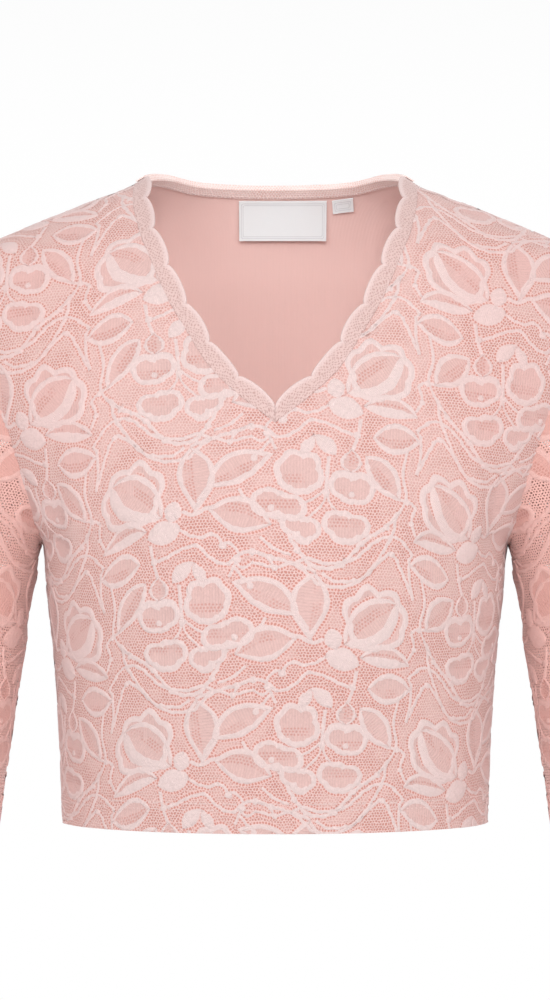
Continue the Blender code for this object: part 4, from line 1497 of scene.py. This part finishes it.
def beside_neck(at, offset, side):
    """Points and normals at a distance along the right half's neckline and an offset from it.

    A negative offset lies on the panel. A positive one is past its edge, in the opening.
    """
    length, edge, run, into = neck_frame(side)
    held = np.clip(at, 0.0, length[-1])
    near, away = (
        np.stack([np.interp(held, length, column) for column in values.T], -1)
        for values in (edge, into)
    )
    near = near + run[0] * (at - held)[:, None]
    offset = np.broadcast_to(offset, at.shape)[:, None]
    theta, height = nearest_on_body(near + away * np.minimum(offset, 0.0), side)
    points = body_point(theta, height, side) + away * np.maximum(offset, 0.0)
    return points, body_normal(theta, height, side)


# %% Finish of the edging
EDGING_CREAM = (0.64, 0.455, 0.43)
EDGING_SHADE = (0.41, 0.235, 0.21)
EDGING_RIM = (0.67, 0.51, 0.49)
# From loop to loop along the edging, and from row to row
LOOP_STEP, LOOP_ROWS = 2.6, 2.3
# Distances in from the scallops' edge: where the light rim starts, and where it is whole
RIM_STARTS, RIM_WHOLE = 4.2, 0.9


def edging_finish():
    """Edging: small holes in uneven rows on a close ground, a light rim on each scallop.

    A hole is where two sines, one along the edging and one across it, are both high or
    both low. Noise leads their rows astray.
    """
    material, tree, shader = cloth_finish("cream_edging", EDGING_CREAM, 0.8)
    places = add_node(tree, "ShaderNodeSeparateXYZ", {0: flat_places(tree, "edging")})
    along, from_rim = places.outputs[0], places.outputs[1]
    stray = calculate(tree, "MULTIPLY", uneven(tree, 330.0), 4.0)
    aside = calculate(tree, "MULTIPLY", uneven(tree, 210.0), 5.0)
    ribs = calculate(tree, "MULTIPLY", calculate(tree, "ADD", along, stray), 2 * np.pi / LOOP_STEP)
    rows = calculate(tree, "SUBTRACT", from_rim, aside)
    rows = calculate(tree, "MULTIPLY", rows, 2 * np.pi / LOOP_ROWS)
    both = calculate(tree, "MULTIPLY", calculate(tree, "SINE", ribs), calculate(tree, "SINE", rows))
    pins = from_to(tree, both, 0.0, 0.65)
    tone = blend(tree, uneven(tree, 300.0, 3.0), EDGING_CREAM, [c * 0.9 for c in EDGING_CREAM])
    tone = blend(tree, calculate(tree, "MULTIPLY", pins, 0.7), tone, EDGING_SHADE)
    tone = blend(tree, from_to(tree, from_rim, RIM_STARTS, RIM_WHOLE), tone, EDGING_RIM)
    tree.links.new(tone, shader.inputs["Base Color"])
    raise_threads(tree, shader, calculate(tree, "SUBTRACT", 1.0, pins), 0.00015)
    return material


cream_edging = edging_finish()

# %% The scalloped edging
SCALLOPS = 7
SCALLOP_SAMPLES = 40
SCALLOP_DEPTH = 3.5
CUSP = 0.3
BAND_WIDTH = 8.0
MITRE_SLOPE = np.tan(np.radians(38.6))
MITRE_LENGTH = 25.0
EDGING_BACK = 1.65
# Columns: share of the way from the band's border to the scallops' edge, level of the face
EDGING_SECTION = [
    (0.0, 1.95), (0.03, 2.4), (0.09, 2.5), (0.15, 2.4), (0.3, 2.45), (0.5, 2.55), (0.7, 2.6),
    (0.86, 2.65), (0.91, 2.85), (0.96, 2.85), (0.985, 2.6), (1.0, 2.3),
]


def edging(name, mirror):
    """A strip on one side of the V, mitred at centre front.

    Its border keeps 8 mm off the neckline's cut edge. Past that edge it swells into
    scallops: cusp + depth (1 - phase squared)^0.6. The rim of each scallop is corded.
    """
    length = neck_frame(FRONT)[0][-1]
    samples = np.arange(SCALLOPS * SCALLOP_SAMPLES + 1)
    at = length * samples / samples[-1]
    phase = 2 * (samples % SCALLOP_SAMPLES) / SCALLOP_SAMPLES - 1
    scallop = CUSP + SCALLOP_DEPTH * (1 - phase**2) ** 0.6
    mitre = MITRE_SLOPE * np.clip(1 - at / MITRE_LENGTH, 0.0, None)
    backs, fronts, places = [], [], []
    for share, level in EDGING_SECTION:
        offset = -BAND_WIDTH + (BAND_WIDTH + scallop) * share
        line, normal = beside_neck(at + offset * mitre, offset, FRONT)
        line[0, 0] = SEAM_GAP / 2
        normal[0, 0] = 0.0
        backs.append(line + normal * EDGING_BACK)
        fronts.append(line + normal * level)
        places.append(np.column_stack([at, scallop - offset]))
    index = np.arange(len(backs) * len(at)).reshape(len(backs), len(at))
    quads = grid_quads(index)
    if mirror < 0:
        quads = quads[:, ::-1]
    flip = np.array([mirror, 1.0, 1.0])
    wall, faces = closed_wall(np.vstack(backs) * flip, np.vstack(fronts) * flip, quads)
    flat = np.vstack(places)
    return make_piece(name, wall, [faces], [cream_edging], [("edging", np.vstack([flat, flat]))])


for hand, mirror in (("left", 1.0), ("right", -1.0)):
    edging(f"edging_{hand}_lace", mirror)
    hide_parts(f"edging_{hand}")

# %% The binding of the back neck
# Painted light: the binding is the body's lace, painted far paler than the body's net for the light
# it catches
BINDING_THREAD_LIT = (0.95, 0.78, 0.745)
BINDING_HOLE_LIT = (0.80, 0.51, 0.46)
binding_net_lit = net_finish("binding_net_lit", BINDING_THREAD_LIT, BINDING_HOLE_LIT, 0.0002)
BINDING_INSIDE = ((-6.4, -0.4), (0.2, -0.4), (0.4, 0.0), (0.4, 2.6), (0.2, 3.0), (-6.4, 3.0))
BINDING_OUTSIDE = ((-6.4, -1.2), (0.6, -1.2), (1.2, -0.4), (1.2, 3.1), (0.6, 3.8), (-6.4, 3.8))
BINDING_STEPS = 90
SECTION_STEPS = 6


def finer_section(section):
    """More places along each straight stretch of a section."""
    marks = np.arange(len(section))
    at = np.linspace(0, len(section) - 1, (len(section) - 1) * SECTION_STEPS + 1)
    return np.column_stack([np.interp(at, marks, column) for column in np.array(section).T])


def binding(name):
    """A lace strip folded over the back neckline, from one shoulder seam to the other."""
    length = neck_frame(BACK)[0][-1]
    at = np.linspace(0.0, length, BINDING_STEPS + 1)
    walls, flats = [], []
    for section in (finer_section(BINDING_INSIDE), finer_section(BINDING_OUTSIDE)):
        over = lengths_along(section)
        lines, places = [], []
        for (offset, level), fold in zip(section, over):
            right, normal = beside_neck(at, offset, BACK)
            right = right + normal * level
            right[0, 0] = 0.0
            left = right[:0:-1] * np.array([-1.0, 1.0, 1.0])
            lines.append(np.vstack([left, right]))
            run = np.concatenate([-at[:0:-1], at])
            places.append(np.column_stack([run, np.full(len(run), fold)]))
        walls.append(np.array(lines).reshape(-1, 3))
        flats.append(np.vstack(places))
    index = np.arange(len(walls[0])).reshape(len(lines), -1)
    wall, faces = closed_wall(*walls, grid_quads(index))
    maps = [("cloth", np.vstack(flats))]
    return make_piece(name, wall, [faces], [binding_net_lit], maps)


back_binding = binding("back_neck_binding_lace")
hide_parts("back_neck_binding")

# %% [markdown]
# ## Stitches
#
# A stitch shows by the light on its back and the shade beside it, so each is a small raised
# rib of thread. All the ribs of a hem are worked out in one array: hundreds of separate
# objects would look the same and be slow to load.

# %% Stitches
STITCH_LONG, STITCH_GAP = 2.3, 0.7
STITCH_HALF_WIDTH, STITCH_HEIGHT, STITCH_SUNK = 0.42, 0.5, 0.08
STITCH_COLOUR = (0.86, 0.64, 0.61)
# Points along a stitch and across it
LONG_POINTS, CROSS_POINTS = 5, 4
BINDING_STITCHES_OFF = -5.4
HEM_STITCHES_ABOVE = (14.0, 18.0)
CUFF_STITCH_ROWS = (3, 4)
seam_thread = thread_finish("seam_thread", STITCH_COLOUR, 0.5, 0.3, False)


def stitches(name, lines):
    """Rows of stitches along lines that are given as points and normals.

    A stitch is a short rib: its section is an arch, and its height falls to both ends as
    1 - x squared.
    """
    x = np.linspace(-1.0, 1.0, LONG_POINTS)
    y = np.linspace(-1.0, 1.0, CROSS_POINTS)
    rise = np.sqrt(np.outer(1 - x**2, 1 - y**2) + 1e-4)
    grid = grid_quads(np.arange(rise.size).reshape(rise.shape))
    made, places = [], []
    for points, normals in lines:
        length = lengths_along(points)
        count = max(2, int(length[-1] / (STITCH_LONG + STITCH_GAP)))
        middle = length[-1] * (np.arange(count) + 0.5) / count
        at = middle[:, None] + x * STITCH_LONG / 2
        spot, up, run = (
            np.stack([np.interp(at, length, column) for column in values.T], -1)
            for values in (points, normals, np.gradient(points, axis=0))
        )
        sideways = unit(np.cross(up, run))
        rib = spot[:, :, None] + sideways[:, :, None] * (y * STITCH_HALF_WIDTH)[:, None]
        rib = rib + unit(up)[:, :, None] * (rise * STITCH_HEIGHT - STITCH_SUNK)[..., None]
        made.append(rib.reshape(-1, 3))
        across = np.broadcast_to(y * STITCH_HALF_WIDTH, rib.shape[:3])
        along = np.broadcast_to(at[:, :, None], rib.shape[:3])
        places.append(np.column_stack([along.ravel(), across.ravel()]))
    points = np.vstack(made)
    starts = np.arange(0, len(points), rise.size)
    faces = (grid + starts[:, None, None]).reshape(-1, 4)
    return make_piece(name, points, [faces], [seam_thread], [("thread", np.vstack(places))])


def both_sides(points, normals):
    """A line on the right half joined to its mirror image, from left to right."""
    flip = np.array([-1.0, 1.0, 1.0])
    return np.vstack([points[:0:-1] * flip, points]), np.vstack([normals[:0:-1] * flip, normals])


def around_hem(side, above):
    """A line round one panel, some way above the hem."""
    theta = np.linspace(0.0, np.pi / 2 - 0.02, 80)
    height = np.full(80, HEM_HEIGHT + above)
    points, normals = body_point(theta, height, side), body_normal(theta, height, side)
    return both_sides(points + normals * NET_LEVELS[1], normals)


back_length = neck_frame(BACK)[0][-1]
line, normal = beside_neck(np.linspace(0.0, back_length, 120), BINDING_STITCHES_OFF, BACK)
binding_line = both_sides(line - normal * 1.2, -normal)
neck_stitches = stitches("binding_stitches", [binding_line])
hem_lines = [around_hem(side, above) for side in (FRONT, BACK) for above in HEM_STITCHES_ABOVE]
hem_stitches = stitches("hem_stitches", hem_lines)
cuff_lines = []
for mirror in (1.0, -1.0):
    for row in CUFF_STITCH_ROWS:
        flip = np.array([mirror, 1.0, 1.0])
        cuff = sleeve_points[row] + sleeve_normals[row] * SLEEVE_NET_LEVELS[1]
        cuff_lines.append((cuff * flip, sleeve_normals[row] * flip))
cuff_stitches = stitches("cuff_stitches", cuff_lines)

# %% [markdown]
# ## The labels
#
# A woven label is stiff satin tape with folded edges. It hangs from the binding and stands
# a little off the lining at its foot, where its own shade falls. A flat plane would cut into
# the curved back, so each label is laid on the body first and then moved in.

# %% The labels
# left and right are from the centre line, top is the height of its head and drop its length,
# turn is in degrees, and lift how far the foot stands off
LABEL_SIZES = {"left": -23.0, "right": 33.0, "top": -10.6, "drop": 23.6, "turn": 0.0, "lift": 2.6}
TAB_SIZES = {"left": 36.4, "right": 49.6, "top": -10.6, "drop": 7.6, "turn": 6.0, "lift": 0.6}
LABEL_OFF = 0.65
LABEL_THICK = 0.8
LABEL_WHITE = (0.90, 0.95, 0.965)
LABEL_LINE = (0.74, 0.78, 0.80)
# Woven lines of the border, in from the edge, and the tape's threads from one to the next
BORDER_LINES = (1.5, 2.5)
WEFT, WARP = 0.45, 0.6
# Width of the folded edge, and share of the thickness that the tape has inside it
FOLDED_EDGE, SINGLE_SHARE = 2.5, 0.75


def woven_finish():
    """White woven tape: fine weft ribs, with a border of two woven lines."""
    tape, tree, shader = cloth_finish("white_woven_tape", LABEL_WHITE, 0.55, 0.1)
    places = add_node(tree, "ShaderNodeSeparateXYZ", {0: flat_places(tree, "cloth")})
    weft = calculate(tree, "MULTIPLY", places.outputs[1], 2 * np.pi / WEFT)
    warp = calculate(tree, "MULTIPLY", places.outputs[0], 2 * np.pi / WARP)
    sines = calculate(tree, "SINE", weft), calculate(tree, "SINE", warp)
    weave = from_to(tree, calculate(tree, "MULTIPLY", *sines), -1.0, 1.0)
    woven = calculate(tree, "MULTIPLY", weave, 0.3)
    tone = blend(tree, woven, LABEL_WHITE, [c * 0.9 for c in LABEL_WHITE])
    edge = add_node(tree, "ShaderNodeSeparateXYZ", {0: flat_places(tree, "edge")}).outputs[0]
    for middle in BORDER_LINES:
        away = calculate(tree, "ABSOLUTE", calculate(tree, "SUBTRACT", edge, middle))
        tone = blend(tree, from_to(tree, away, 0.32, 0.12), tone, LABEL_LINE)
    tree.links.new(tone, shader.inputs["Base Color"])
    raise_threads(tree, shader, weave, 0.00008)
    return tape


def label(name, size, steps):
    """A label that hangs inside the back lining, its foot standing off a little.

    It is a flat strip turned by a few degrees, laid on the body and moved in by a
    clearance that grows as the drop to the power 1.5. Its edges are folded and so thicker.
    """
    width = (size["right"] - size["left"]) * np.linspace(0.0, 1.0, 2 * steps + 1)
    down = np.linspace(size["drop"], 0.0, steps + 1)[:, None]
    turn = np.radians(size["turn"])
    x = size["left"] + width * np.cos(turn) + down * np.sin(turn)
    height = size["top"] + width * np.sin(turn) - down * np.cos(turn)
    theta = np.arcsin(x / ring_size(height, BACK)[0])
    points = body_point(theta, height, BACK).reshape(-1, 3)
    normals = body_normal(theta, height, BACK).reshape(-1, 3)
    off = LABEL_OFF + size["lift"] * (down / size["drop"]) ** 1.5 + 0 * width
    near_side = np.minimum(width, width[-1] - width)
    fold = (1 - SINGLE_SHARE) * smooth(1 - (near_side - FOLDED_EDGE) / 0.8)
    folded = LABEL_THICK * (SINGLE_SHARE + fold) + 0 * down
    index = np.arange(x.size).reshape(x.shape)
    back = points - normals * off.reshape(-1, 1)
    front = points - normals * (off + folded).reshape(-1, 1)
    wall, faces = closed_wall(back, front, grid_quads(index))
    flat = np.column_stack([(width + 0 * down).ravel(), (down + 0 * width).ravel()])
    edge = np.minimum(near_side, np.minimum(down, size["drop"] - down)).ravel()
    edge = np.column_stack([edge, 0 * edge])
    maps = [("cloth", np.vstack([flat, flat])), ("edge", np.vstack([edge, edge]))]
    return make_piece(name, wall, [faces], [woven_tape], maps)


woven_tape = woven_finish()
neck_label = label("label_tape", LABEL_SIZES, 24)
size_label = label("size_tab_tape", TAB_SIZES, 10)
for piece, node in ((neck_label, "label"), (size_label, "size_tab")):
    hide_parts(node)

# %% [markdown]
# ## Floor
#
# The blouse is held at shoulder height, so the floor lies well below it. It is there for
# the light that it throws back up, and it isn't attached to the blouse, so it isn't part of it.

# %% Floor
FLOOR_HEIGHT = -1.25
FLOOR_REACH = 6.0
FLOOR_CORNERS = 64
floor_mesh = bpy.data.meshes.new("floor")
around = np.linspace(0.0, 2 * np.pi, FLOOR_CORNERS, endpoint=False)
rim = np.column_stack([np.cos(around), np.sin(around), 0 * around]) * FLOOR_REACH
corners = [list(range(FLOOR_CORNERS))]
floor_mesh.from_pydata((rim + (0.0, 0.0, FLOOR_HEIGHT)).tolist(), [], corners)
floor_paint = bpy.data.materials.new("pale_floor")
floor_paint.use_nodes = True
floor_shader = floor_paint.node_tree.nodes["Principled BSDF"]
floor_shader.inputs["Base Color"].default_value = (0.93, 0.93, 0.93, 1.0)
floor_shader.inputs["Roughness"].default_value = 0.9
floor_mesh.materials.append(floor_paint)
floor = bpy.data.objects.new("floor", floor_mesh)
bpy.context.scene.collection.objects.link(floor)

# %% [markdown]
# ## Lengths of the trims
#
# The lengths of the V neckline and of the back binding, and the width of the binding's
# section, are worked out here in metres.


for side, place in ((FRONT, "front"), (BACK, "back")):
    lining, net, flowers = body[place]
neck_length = neck_frame(FRONT)[0][-1] * MM
binding_length = 2 * neck_frame(BACK)[0][-1] * MM
binding_width = lengths_along(np.array(BINDING_OUTSIDE))[-1] * MM
